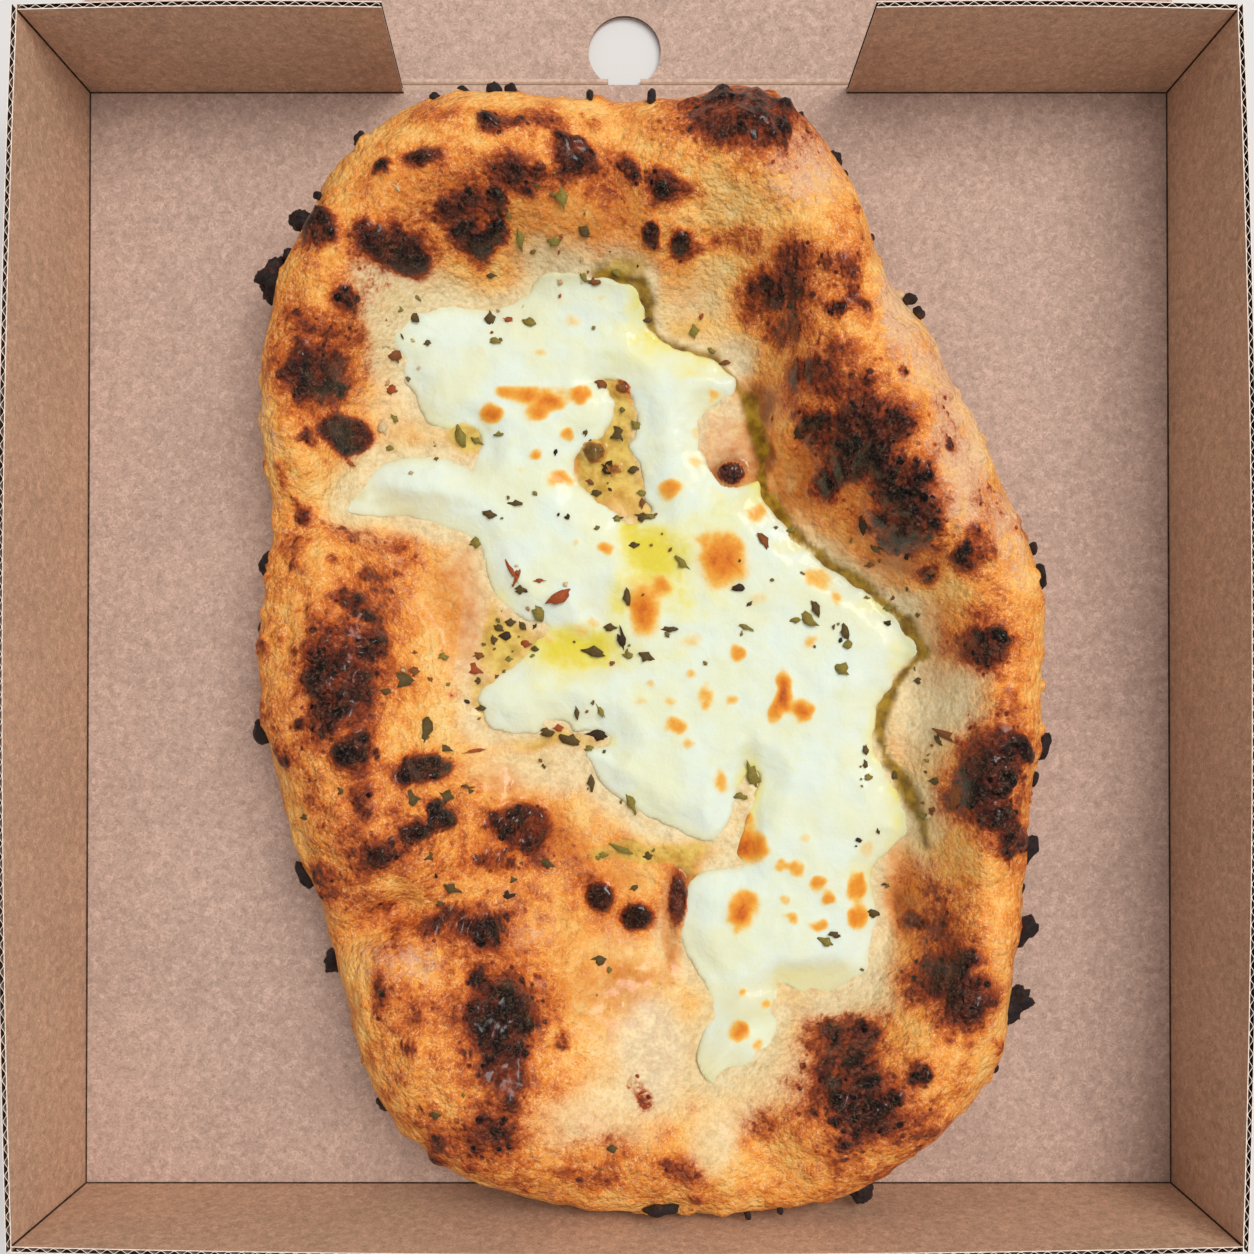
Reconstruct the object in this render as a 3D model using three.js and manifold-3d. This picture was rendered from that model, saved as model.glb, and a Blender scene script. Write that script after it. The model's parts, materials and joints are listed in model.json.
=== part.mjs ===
// Garlic bread in an open takeaway box: a puffy hand-stretched flatbread with melted cheese and herbs,
// lying in a shallow tray of thin corrugated board. The back wall and the lid are folded down flat behind it.
// Millimetres and degrees. +X is to the right, +Y goes from the front wall to the back, +Z is up.
// The origin is the centre of the tray's underside.
import * as THREE from "three";
import { mergeVertices } from "three/addons/utils/BufferGeometryUtils.js";
import Module from "manifold-3d";

const wasm = await Module();
wasm.setup();

// ---- Driving dimensions of the box ----
const BOARD = 1.5; // thickness of the corrugated board
const GAP = 0.3; // between faces that would otherwise touch
const HALF_WIDTH = 150; // inside the tray, at the floor
const HALF_LENGTH = 151.4;
const WALL_HEIGHT = 42; // above the floor's upper face
const SIDE_BOW = 2.8; // how far the top edge of a wall bows out at its middle
const FRONT_BOW = 1.9;
const FLAP_BOW = 0.9;
const CORNER_FLAPS = [
  // the side walls' flaps that stand across the back: how far each end is from the middle, below and above
  { side: -1, endBelow: 62.8, endAbove: 60.4 },
  { side: 1, endBelow: 60.9, endAbove: 61.3 },
];
const HOLE = { x: -1.1, y: 162.8, radius: 10.1 }; // the round hole beside the back wall's crease
const BACK_CREASE = 154; // the line that the back wall folds about
const LID_CLEARANCE = 0.3; // under the closed lid, above the tray's walls
const SIDE_FLAP = { width: 30, inset: 8, taper: 16 }; // the lid's flaps, which tuck inside the tray
const FRONT_FLAP = { width: 12, halfLength: 140, taper: 9 };
const TUCK_CLEARANCE = 0.5; // between a tucked flap and the wall beside it

// ---- Driving dimensions of the bread ----
const BREAD_CENTRE = new THREE.Vector2(6.5, -5.9);
// The outline at its widest level: a radius every 10 degrees, counter-clockwise from +X.
const BREAD_RADII = [
  101.5, 101.2, 101, 100.6, 103.8, 110.1, 117.5, 137, 147.4, 143.5, 146.4, 152.5,
  152.5, 141.1, 130, 116.9, 105.4, 101.9, 101.8, 102, 102.4, 105.4, 109.8, 121.1,
  135.9, 142.6, 143.1, 143.2, 145.1, 146.1, 144.1, 137.1, 122.9, 110.6, 104.2, 102,
];
// The puffed rim: a width and a crest height every 30 degrees, counter-clockwise from +X.
const RIM_WIDTHS = [36, 52, 66, 62, 50, 32, 52, 60, 84, 72, 48, 36];
const RIM_CRESTS = [31, 34, 34.5, 33, 33.5, 30, 32, 34, 32.5, 34, 34.5, 32];
const WIDEST_LEVEL = 19; // height of the widest outline above the bread's flat base
const BASIN_LEVEL = 11; // the flat middle under the cheese
const BASE_INSET = 9; // how far the flat base stays inside the outline
const CREST_SHARE = 0.4; // the crest's distance from the outline, as a share of the rim's width
const CREST_MOST = 21;
const BREAD_STEPS = 92; // round the bread
const BREAD_RINGS = 15; // from the crest's outer side to the middle
// Bubbles that swell the rim, and hollows: centre, half-axes, turn and rise.
const SWELLINGS = [
  { x: -44, y: -108, rx: 30, ry: 36, turn: 20, rise: 5 }, // big bubble at the front left
  { x: -58, y: -20, rx: 22, ry: 32, turn: 0, rise: 4 },
  { x: -42, y: 112, rx: 34, ry: 24, turn: 35, rise: 3 },
  { x: 27, y: 124, rx: 22, ry: 18, turn: 0, rise: 4 },
  { x: 62, y: 50, rx: 18, ry: 44, turn: 28, rise: 4 },
  { x: 60, y: -112, rx: 24, ry: 26, turn: 0, rise: 4 },
  { x: 92, y: -42, rx: 12, ry: 30, turn: 0, rise: 2 },
  { x: 76, y: -26, rx: 10, ry: 14, turn: 20, rise: 3 },
  { x: -10, y: -66, rx: 18, ry: 14, turn: 0, rise: 3 },
  { x: 6, y: -108, rx: 16, ry: 14, turn: 0, rise: -5 }, // hollow in front of the cheese's tail
  { x: 66, y: -78, rx: 12, ry: 12, turn: 0, rise: -3 },
];
// Creases between the bubbles: two ends, half-width and depth.
const CREASES = [
  { from: [-80, -82], to: [-24, -77], width: 8, depth: 6 },
  { from: [-98, 28], to: [-66, 32], width: 8, depth: 6 },
  { from: [-1, 142], to: [-5, 106], width: 8, depth: 3 },
  { from: [36, -134], to: [24, -116], width: 8, depth: 3 },
  { from: [104, -62], to: [76, -70], width: 8, depth: 3 },
];
// Burst blisters, baked hard, that stand out of the crust: angle, height and half-axes out, along and up.
const BLISTERS = [
  { angle: 135, level: 21, out: 4, along: 6, up: 5 },
  { angle: 129, level: 22, out: 3, along: 3.4, up: 3.4 },
  { angle: 224, level: 14, out: 5.5, along: 3.4, up: 3.4 },
  { angle: 240, level: 14, out: 3, along: 4.4, up: 3.6 },
  { angle: 291, level: 18, out: 3.6, along: 5, up: 3.4 },
  { angle: 271, level: 27, out: 2, along: 5, up: 2.4 },
  { angle: 315, level: 18, out: 3.4, along: 7.4, up: 4 },
  { angle: 323, level: 20, out: 3, along: 5, up: 4 },
  { angle: 332, level: 18, out: 2.2, along: 4.6, up: 3 },
  { angle: 346, level: 20, out: 2.2, along: 4.6, up: 3.4 },
  { angle: 11, level: 22, out: 1.8, along: 3.4, up: 3 },
  { angle: 53, level: 22, out: 2, along: 3.2, up: 3 },
  { angle: 70, level: 24, out: 2.6, along: 3.6, up: 3.6 },
  { angle: 104, level: 24, out: 2, along: 4.4, up: 3 },
  { angle: 110, level: 24, out: 1.8, along: 3.2, up: 2.6 },
  { angle: 167, level: 20, out: 2.2, along: 3.6, up: 3.4 },
  { angle: 191, level: 21, out: 2.4, along: 3.6, up: 3.4 },
  { angle: 212, level: 20, out: 1.8, along: 4, up: 3 },
];

// ---- Driving dimensions of the cheese and herbs ----
const CHEESE_THICKNESS = 3.2;
const CHEESE_GRID = 4.9; // spacing of its facets
const CHEESE_SLOPE = 1.1; // how steeply its edge rises
const CHEESE_SUNK = 3; // how far its upper surface runs on below the crust, outside its edge
const LOBE_BLEND = 1.2; // how softly its lobes run into each other
// Lobes of melted cheese: each is a stroke from (x0, y0) to (x1, y1) with a radius at both ends.
const CHEESE_LOBES = [
  { x0: -15, y0: 83, x1: -6, y1: 84, r0: 12, r1: 11 }, // top
  { x0: -50, y0: 75, x1: -20, y1: 75, r0: 12, r1: 12 },
  { x0: -44, y0: 64, x1: -16, y1: 64, r0: 12, r1: 12 },
  { x0: -28, y0: 58, x1: -10, y1: 56, r0: 12, r1: 7 },
  { x0: -71, y0: 34, x1: -42, y1: 38, r0: 3, r1: 10 }, // arm to the left
  { x0: -34, y0: 36, x1: -16, y1: 18, r0: 15, r1: 17 },
  { x0: -12, y0: 14, x1: -4, y1: -6, r0: 11, r1: 12 }, // oily bridge
  { x0: -4, y0: 76, x1: 20, y1: 64, r0: 8, r1: 9 },
  { x0: 15, y0: 62, x1: 22, y1: 44, r0: 9, r1: 11 }, // strand down the right
  { x0: 20, y0: 34, x1: 24, y1: 22, r0: 13, r1: 15 },
  { x0: 16, y0: 18, x1: 42, y1: 4, r0: 16, r1: 14 },
  { x0: 40, y0: 2, x1: 64, y1: -3, r0: 14, r1: 11 }, // lobe to the right
  { x0: 30, y0: -4, x1: 12, y1: -14, r0: 18, r1: 16 },
  { x0: -30, y0: -18, x1: -10, y1: -20, r0: 9, r1: 8 }, // tip to the left
  { x0: 2, y0: -28, x1: 18, y1: -40, r0: 14, r1: 15 },
  { x0: 50, y0: -16, x1: 57, y1: -46, r0: 15, r1: 15 },
  { x0: 40, y0: -26, x1: 46, y1: -58, r0: 14, r1: 13 },
  { x0: 29, y0: -77, x1: 51, y1: -80, r0: 14, r1: 15 }, // front lobe
  { x0: 50, y0: -64, x1: 54, y1: -78, r0: 13, r1: 12 },
  { x0: 29, y0: -92, x1: 27, y1: -110, r0: 11, r1: 8 }, // tail
];
// Gaps that the cheese left open, in the same form.
const CHEESE_GAPS = [
  { x0: -6, y0: 63, x1: -7, y1: 52, r0: 3, r1: 6 },
  { x0: 2, y0: 50, x1: 3, y1: 44, r0: 6, r1: 8 },
  { x0: -9, y0: 47, x1: 2, y1: 30, r0: 6, r1: 3 },
  { x0: -41, y0: 52, x1: -37, y1: 52, r0: 2, r1: 3.5 },
  { x0: -34, y0: -5, x1: -18, y1: -2, r0: 1.5, r1: 5 },
  { x0: 32, y0: -38, x1: 34.5, y1: -58, r0: 0.5, r1: 3 },
];
const FLAKE_SEED = 11;
const FLAKE_THICKNESS = 0.7;
const FLAKE_SUNK = 0.25; // how far a flake's middle is sunk in what it lies on
const FLAKE_CLEAR = 4.4; // from the cheese's edge to the middle of a flake on the bread
// Where dried herb flakes gathered: the middle, the spread and how many lie there.
const FLAKE_CLUSTERS = [
  { x: -6, y: 40, spread: 9, count: 9 },
  { x: -26, y: -1, spread: 9, count: 12 },
  { x: -16, y: -26, spread: 9, count: 7 },
  { x: 2, y: 6, spread: 12, count: 8 },
  { x: 46, y: 2, spread: 6, count: 6 },
  { x: -58, y: 70, spread: 14, count: 8 },
  { x: -42, y: 54, spread: 8, count: 5 },
  { x: -30, y: 84, spread: 12, count: 5 },
  { x: -14, y: 92, spread: 14, count: 5 },
  { x: 28, y: 70, spread: 10, count: 4 },
  { x: 58, y: 26, spread: 10, count: 6 },
  { x: 70, y: -34, spread: 12, count: 8 },
  { x: 33, y: -34, spread: 6, count: 3 },
  { x: 44, y: -74, spread: 12, count: 4 },
  { x: -4, y: -56, spread: 10, count: 5 },
  { x: -52, y: -24, spread: 13, count: 14 },
  { x: -38, y: -50, spread: 14, count: 8 },
  { x: -24, y: 108, spread: 16, count: 6 },
];

// ---- Solids ----
const solidOf = (geometry) => {
  const bare = geometry.clone();
  bare.deleteAttribute("normal");
  bare.deleteAttribute("uv");
  const merged = mergeVertices(bare, 1e-4);
  return new wasm.Manifold(
    new wasm.Mesh({
      numProp: 3,
      vertProperties: new Float32Array(merged.attributes.position.array),
      triVerts: new Uint32Array(merged.index.array),
    }),
  );
};

const geometryOf = (solid) => {
  const { vertProperties, triVerts } = solid.getMesh();
  return new THREE.BufferGeometry()
    .setAttribute("position", new THREE.BufferAttribute(vertProperties, 3))
    .setIndex(new THREE.BufferAttribute(triVerts, 1));
};

// The largest body of the union, so that a scrap which misses the others is dropped.
const joined = (solids) =>
  solids
    .reduce((all, one) => all.add(one))
    .decompose()
    .sort((a, b) => b.volume() - a.volume())[0];

// Moves every vertex of a geometry by a function that changes the point given to it.
const reshape = (geometry, change) => {
  const points = geometry.attributes.position;
  const p = new THREE.Vector3();
  for (let i = 0; i < points.count; i++) {
    change(p.fromBufferAttribute(points, i));
    points.setXYZ(i, p.x, p.y, p.z);
  }
  return geometry;
};

const block = (x, y, z, steps = [1, 1, 1]) =>
  new THREE.BoxGeometry(x[1] - x[0], y[1] - y[0], z[1] - z[0], ...steps).translate(
    (x[0] + x[1]) / 2,
    (y[0] + y[1]) / 2,
    (z[0] + z[1]) / 2,
  );

// A flat piece of board lying on the ground, from its outline seen from above.
const sheet = (corners) =>
  new THREE.ExtrudeGeometry(
    new THREE.Shape(corners.map(([x, y]) => new THREE.Vector2(x, y))),
    { depth: BOARD, bevelEnabled: false },
  );

// ---- The tray ----
const wallTop = BOARD + WALL_HEIGHT;
const outerX = HALF_WIDTH + BOARD;
const outerY = HALF_LENGTH + BOARD;
const floorBack = BACK_CREASE - 0.5; // the floor's edge, in the crease
const WALL_STEPS = 16;

// Share of a wall's bow at a point: nothing at the crease and the corners, all of it at the middle of the top.
const bowShare = (along, z) =>
  (1 - Math.min(1, along * along)) * Math.max(0, (z - BOARD) / WALL_HEIGHT);

const sideWall = (side) =>
  reshape(
    block(
      side > 0 ? [HALF_WIDTH, outerX] : [-outerX, -HALF_WIDTH],
      [-outerY, outerY],
      [0, wallTop],
      [1, WALL_STEPS, 2],
    ),
    (p) => (p.x += side * SIDE_BOW * bowShare(p.y / HALF_LENGTH, p.z)),
  );

const frontWall = () =>
  reshape(
    block([-outerX, outerX], [-outerY, -HALF_LENGTH], [0, wallTop], [WALL_STEPS, 1, 2]),
    (p) => (p.y -= FRONT_BOW * bowShare(p.x / HALF_WIDTH, p.z)),
  );

// A corner flap comes from the back end of a side wall and stands across the back, on the floor's edge.
const cornerFlap = ({ side, endBelow, endAbove }) =>
  reshape(
    block([0, 1], [HALF_LENGTH, outerY], [0, wallTop], [WALL_STEPS / 2, 1, 2]),
    (p) => {
      const up = Math.max(0, (p.z - BOARD) / WALL_HEIGHT);
      const end = THREE.MathUtils.lerp(endBelow, endAbove, up);
      p.y += FLAP_BOW * up * Math.sin(0.8 * Math.PI * (1 - p.x));
      p.x = side * THREE.MathUtils.lerp(end, outerX, p.x);
    },
  );

// Mirroring a block turns its faces inside out, so a flap on the left has its triangles turned back.
const turnedOut = (geometry) => {
  const index = geometry.index;
  for (let i = 0; i < index.count; i += 3) {
    const second = index.getX(i + 1);
    index.setX(i + 1, index.getX(i + 2));
    index.setX(i + 2, second);
  }
  return geometry;
};

const tray = () =>
  joined(
    [
      block([-outerX, outerX], [-outerY, floorBack], [0, BOARD]),
      sideWall(-1),
      sideWall(1),
      frontWall(),
      ...CORNER_FLAPS.map((flap) =>
        flap.side > 0 ? cornerFlap(flap) : turnedOut(cornerFlap(flap)),
      ),
    ].map(solidOf),
  );

// ---- The back wall and the lid, lying flat behind the tray ----
const lidHinge = BACK_CREASE + WALL_HEIGHT + LID_CLEARANCE; // the line that the lid folds about
const backWallFrom = floorBack + GAP;
const backWallTo = lidHinge - GAP / 2;
const lidFrom = lidHinge + GAP / 2;
const sideFlapHinge = HALF_WIDTH - TUCK_CLEARANCE - BOARD; // how far out the lid's side flaps fold
const frontFlapHinge = lidHinge + BACK_CREASE + HALF_LENGTH - TUCK_CLEARANCE - BOARD;
const lidTo = frontFlapHinge - GAP / 2;
const lidHalf = sideFlapHinge - GAP / 2;

const backWall = () => {
  const panel = solidOf(
    block([-outerX, outerX], [backWallFrom, backWallTo], [0, BOARD]),
  );
  const hole = new THREE.CylinderGeometry(HOLE.radius, HOLE.radius, 4 * BOARD, 48)
    .rotateX(Math.PI / 2)
    .translate(HOLE.x, HOLE.y, 0);
  return panel.subtract(solidOf(hole));
};

const lid = () => block([-lidHalf, lidHalf], [lidFrom, lidTo], [0, BOARD]);

const lidSideFlap = (side) => {
  const inner = side * (sideFlapHinge + GAP / 2);
  const outer = inner + side * SIDE_FLAP.width;
  const back = lidFrom + SIDE_FLAP.inset;
  const front = lidTo - SIDE_FLAP.inset;
  return sheet([
    [inner, back],
    [outer, back + SIDE_FLAP.taper],
    [outer, front - SIDE_FLAP.taper],
    [inner, front],
  ]);
};

const lidFrontFlap = () => {
  const inner = frontFlapHinge + GAP / 2;
  const outer = inner + FRONT_FLAP.width;
  const { halfLength, taper } = FRONT_FLAP;
  return sheet([
    [-halfLength, inner],
    [halfLength, inner],
    [halfLength - taper, outer],
    [taper - halfLength, outer],
  ]);
};

// ---- The bread ----
// A smooth closed curve through equally spaced values, read at any angle in degrees.
const roundSpline = (values) => (degrees) => {
  const count = values.length;
  const at = (((degrees / 360) * count) % count) + count;
  const start = Math.floor(at);
  const t = at - start;
  const [a, b, c, d] = [-1, 0, 1, 2].map((i) => values[(start + i) % count]);
  return (
    b +
    0.5 *
      t *
      (c - a + t * (2 * a - 5 * b + 4 * c - d + t * (3 * (b - c) + d - a)))
  );
};
const outlineRadius = roundSpline(BREAD_RADII);
const rimWidth = roundSpline(RIM_WIDTHS);
const rimCrest = roundSpline(RIM_CRESTS);
const smooth = (t) => t * t * (3 - 2 * t);
const clamp = THREE.MathUtils.clamp;

const swellingAt = (x, y) =>
  SWELLINGS.reduce((sum, s) => {
    const turn = THREE.MathUtils.degToRad(s.turn);
    const dx = x - s.x;
    const dy = y - s.y;
    const u = (dx * Math.cos(turn) + dy * Math.sin(turn)) / s.rx;
    const v = (dy * Math.cos(turn) - dx * Math.sin(turn)) / s.ry;
    return sum + s.rise * Math.exp(-1.5 * (u * u + v * v));
  }, 0);

const creaseAt = (x, y) =>
  CREASES.reduce((sum, { from, to, width, depth }) => {
    const stroke = { x0: from[0], y0: from[1], x1: to[0], y1: to[1], r0: 0, r1: 0 };
    return sum - depth * Math.exp(-((strokeDistance(stroke, x, y) / width) ** 2));
  }, 0);

// Distance from a point to a stroke with a radius at both ends, negative inside it.
function strokeDistance({ x0, y0, x1, y1, r0, r1 }, x, y) {
  const dx = x1 - x0;
  const dy = y1 - y0;
  const along = clamp(((x - x0) * dx + (y - y0) * dy) / (dx * dx + dy * dy), 0, 1);
  return (
    Math.hypot(x - x0 - along * dx, y - y0 - along * dy) - r0 - (r1 - r0) * along
  );
}

// Height of the crust above the bread's base, at a point inside the outline.
const crustHeight = (x, y) => {
  const dx = x - BREAD_CENTRE.x;
  const dy = y - BREAD_CENTRE.y;
  const degrees = THREE.MathUtils.radToDeg(Math.atan2(dy, dx)) + 360;
  const inward = Math.max(0, outlineRadius(degrees) - Math.hypot(dx, dy));
  const width = rimWidth(degrees);
  const crest = rimCrest(degrees);
  const crestAt = Math.min(CREST_MOST, CREST_SHARE * width);
  const bumps = swellingAt(x, y) + creaseAt(x, y);
  if (inward < crestAt) {
    const share = Math.sqrt(1 - (1 - inward / crestAt) ** 2);
    return WIDEST_LEVEL + (crest + bumps - WIDEST_LEVEL) * share;
  }
  const fall = smooth(clamp((inward - crestAt) / (width - crestAt), 0, 1));
  return THREE.MathUtils.lerp(crest, BASIN_LEVEL, fall) + bumps * (1 - 0.6 * fall);
};

const breadBase = BOARD + GAP;

// Points from the middle of the base round the edge to the middle of the top, at one angle.
const breadProfile = (degrees) => {
  const outline = outlineRadius(degrees);
  const crestAt = Math.min(CREST_MOST, CREST_SHARE * rimWidth(degrees));
  const direction = new THREE.Vector2(1, 0).rotateAround(
    new THREE.Vector2(),
    THREE.MathUtils.degToRad(degrees),
  );
  const place = (radius, height) => {
    const at = direction.clone().multiplyScalar(radius).add(BREAD_CENTRE);
    return [at.x, at.y, breadBase + (height ?? crustHeight(at.x, at.y))];
  };
  const points = [place(0.5 * outline, 0)];
  for (const turn of [0, 30, 60]) {
    const angle = THREE.MathUtils.degToRad(turn);
    points.push(
      place(
        outline - BASE_INSET * (1 - Math.sin(angle)),
        WIDEST_LEVEL * (1 - Math.cos(angle)),
      ),
    );
  }
  for (const turn of [0, 22, 42, 62]) {
    points.push(place(outline - crestAt * (1 - Math.cos(THREE.MathUtils.degToRad(turn)))));
  }
  const inner = outline - 0.72 * crestAt;
  for (let ring = 0; ring < BREAD_RINGS; ring++) {
    points.push(place(inner * (1 - ring / BREAD_RINGS)));
  }
  return points;
};

const breadLoaf = () => {
  const profiles = [];
  for (let step = 0; step < BREAD_STEPS; step++) {
    profiles.push(breadProfile((360 * step) / BREAD_STEPS));
  }
  const rings = profiles[0].length;
  const { x, y } = BREAD_CENTRE;
  const points = [x, y, breadBase, x, y, breadBase + crustHeight(x, y)];
  profiles.forEach((profile) => points.push(...profile.flat()));
  const at = (step, ring) => 2 + (step % BREAD_STEPS) * rings + ring;
  const faces = [];
  for (let step = 0; step < BREAD_STEPS; step++) {
    faces.push(0, at(step + 1, 0), at(step, 0));
    faces.push(1, at(step, rings - 1), at(step + 1, rings - 1));
    for (let ring = 0; ring + 1 < rings; ring++) {
      const [a, b] = [at(step, ring), at(step + 1, ring)];
      const [c, d] = [at(step, ring + 1), at(step + 1, ring + 1)];
      faces.push(a, b, c, b, d, c);
    }
  }
  return new THREE.BufferGeometry()
    .setAttribute("position", new THREE.Float32BufferAttribute(points, 3))
    .setIndex(faces);
};

// How far inside the outline the outer side of the crust lies, at a height above the base.
const edgeInset = (degrees, level) => {
  if (level < WIDEST_LEVEL) {
    return BASE_INSET * (1 - Math.sin(Math.acos(1 - level / WIDEST_LEVEL)));
  }
  const crestAt = Math.min(CREST_MOST, CREST_SHARE * rimWidth(degrees));
  const share = (level - WIDEST_LEVEL) / (rimCrest(degrees) - WIDEST_LEVEL);
  return crestAt * (1 - Math.sqrt(1 - share * share));
};

const blister = ({ angle, level, out, along, up }) => {
  const turn = THREE.MathUtils.degToRad(angle);
  const reach = outlineRadius(angle) - edgeInset(angle, level) - 0.3 * out;
  return new THREE.IcosahedronGeometry(1, out > 2.5 ? 1 : 0)
    .scale(out, along, up)
    .rotateZ(turn)
    .translate(
      BREAD_CENTRE.x + reach * Math.cos(turn),
      BREAD_CENTRE.y + reach * Math.sin(turn),
      breadBase + level,
    );
};

// ---- The cheese ----
// Distance outside the cheese's outline, negative inside it.
const cheeseEdge = (x, y) => {
  const near = CHEESE_LOBES.reduce(
    (sum, lobe) => sum + Math.exp(-clamp(strokeDistance(lobe, x, y), -40, 40) / LOBE_BLEND),
    0,
  );
  const gap = Math.min(...CHEESE_GAPS.map((stroke) => strokeDistance(stroke, x, y)));
  return Math.max(-LOBE_BLEND * Math.log(near), -gap);
};
const breadTop = (x, y) => breadBase + crustHeight(x, y);
const cheeseTop = (x, y) =>
  breadTop(x, y) +
  GAP +
  clamp(-CHEESE_SLOPE * cheeseEdge(x, y), -CHEESE_SUNK, CHEESE_THICKNESS);

const reach = (end) =>
  CHEESE_LOBES.flatMap((lobe) => [0, 1].map((i) => end(lobe, i)));
const CHEESE_MARGIN = 6;
const cheeseFrom = [
  Math.min(...reach((l, i) => l["x" + i] - l["r" + i])) - CHEESE_MARGIN,
  Math.min(...reach((l, i) => l["y" + i] - l["r" + i])) - CHEESE_MARGIN,
];
const cheeseTo = [
  Math.max(...reach((l, i) => l["x" + i] + l["r" + i])) + CHEESE_MARGIN,
  Math.max(...reach((l, i) => l["y" + i] + l["r" + i])) + CHEESE_MARGIN,
];

// The cheese is all that is under its upper surface and over the bread.
const meltedCheese = () => {
  const [columns, rows] = [0, 1].map((i) =>
    Math.ceil((cheeseTo[i] - cheeseFrom[i]) / CHEESE_GRID),
  );
  const bottom = breadBase + GAP; // deep inside the bread
  const under = reshape(
    block(
      [cheeseFrom[0], cheeseTo[0]],
      [cheeseFrom[1], cheeseTo[1]],
      [bottom, bottom + 1],
      [columns, rows, 1],
    ),
    (p) => (p.z = p.z > bottom ? cheeseTop(p.x, p.y) : breadBase + BASIN_LEVEL / 2),
  );
  return solidOf(under).subtract(solidOf(breadLoaf().translate(0, 0, GAP)));
};

// ---- The herb flakes ----
// Seeded random numbers from 0 to 1, the same on every run.
const randomNumbers = (seed) => () => {
  seed = (seed + 0x6d2b79f5) | 0;
  let t = Math.imul(seed ^ (seed >>> 15), 1 | seed);
  t = (t + Math.imul(t ^ (t >>> 7), 61 | t)) ^ t;
  return ((t ^ (t >>> 14)) >>> 0) / 4294967296;
};

const scatterFlakes = () => {
  const random = randomNumbers(FLAKE_SEED);
  return FLAKE_CLUSTERS.flatMap(({ x, y, spread, count }) =>
    Array.from({ length: count }, () => {
      const distance = spread * Math.sqrt(random());
      const bearing = 2 * Math.PI * random();
      return {
        x: x + distance * Math.cos(bearing),
        y: y + distance * Math.sin(bearing),
        length: 2.4 + 2.6 * random(),
        width: 1.4 + 1.2 * random(),
        turn: 2 * Math.PI * random(),
      };
    }),
  );
};

// A flake is a thin leaf of six sides, bent along its middle, that follows the ground under it.
const flake = ({ x, y, length, width, turn }, ground) => {
  const leaf = new THREE.CylinderGeometry(1, 1, 1, 6, 1).rotateX(Math.PI / 2);
  return reshape(leaf, (p) => {
    const lift = Math.sign(p.z) * (FLAKE_THICKNESS / 2);
    const u = (p.x * length) / 2;
    const v = (p.y * width) / 2;
    p.x = x + u * Math.cos(turn) - v * Math.sin(turn);
    p.y = y + u * Math.sin(turn) + v * Math.cos(turn);
    p.z = ground(p.x, p.y) + lift - FLAKE_SUNK + 0.25 * Math.abs(v);
  });
};

const flakes = scatterFlakes();
const onCheese = flakes.filter(({ x, y }) => cheeseEdge(x, y) < -FLAKE_CLEAR);
const onBread = flakes.filter(({ x, y }) => cheeseEdge(x, y) > FLAKE_CLEAR);

const bread = () =>
  joined(
    [
      breadLoaf(),
      ...BLISTERS.map(blister),
      ...onBread.map((one) => flake(one, breadTop)),
    ].map(solidOf),
  );

const mozzarella = () =>
  joined([meltedCheese(), ...onCheese.map((one) => solidOf(flake(one, cheeseTop)))]);

// ---- The whole ----
const cardboard = new THREE.MeshStandardMaterial({ color: 0xb49a8c, roughness: 0.85 });
const crust = new THREE.MeshStandardMaterial({ color: 0xc98a4b, roughness: 0.6 });
const cheese = new THREE.MeshStandardMaterial({ color: 0xeef3e1, roughness: 0.35 });

const whole = new THREE.Group();
const put = (name, shape, material, into = whole) => {
  const geometry = shape.isBufferGeometry ? shape : geometryOf(shape);
  const mesh = new THREE.Mesh(geometry, material);
  mesh.name = name;
  into.add(mesh);
};

const box = new THREE.Group();
put("tray", tray(), cardboard, box);
put("back_wall", backWall(), cardboard, box);
put("lid", lid(), cardboard, box);
put("lid_left_flap", lidSideFlap(-1), cardboard, box);
put("lid_right_flap", lidSideFlap(1), cardboard, box);
put("lid_front_flap", lidFrontFlap(), cardboard, box);
whole.add(box);

const food = new THREE.Group();
put("bread", bread(), crust, food);
put("mozzarella", mozzarella(), cheese, food);
whole.add(food);

export default whole;
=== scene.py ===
"""A garlic flatbread with melted cheese and herbs, in its open takeaway box of corrugated board."""

import json
import logging
import math
from dataclasses import dataclass, field
from enum import Enum
from typing import Callable, Sequence

import bmesh
import bpy
import numpy as np
from mathutils import Euler, Matrix, Vector

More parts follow.
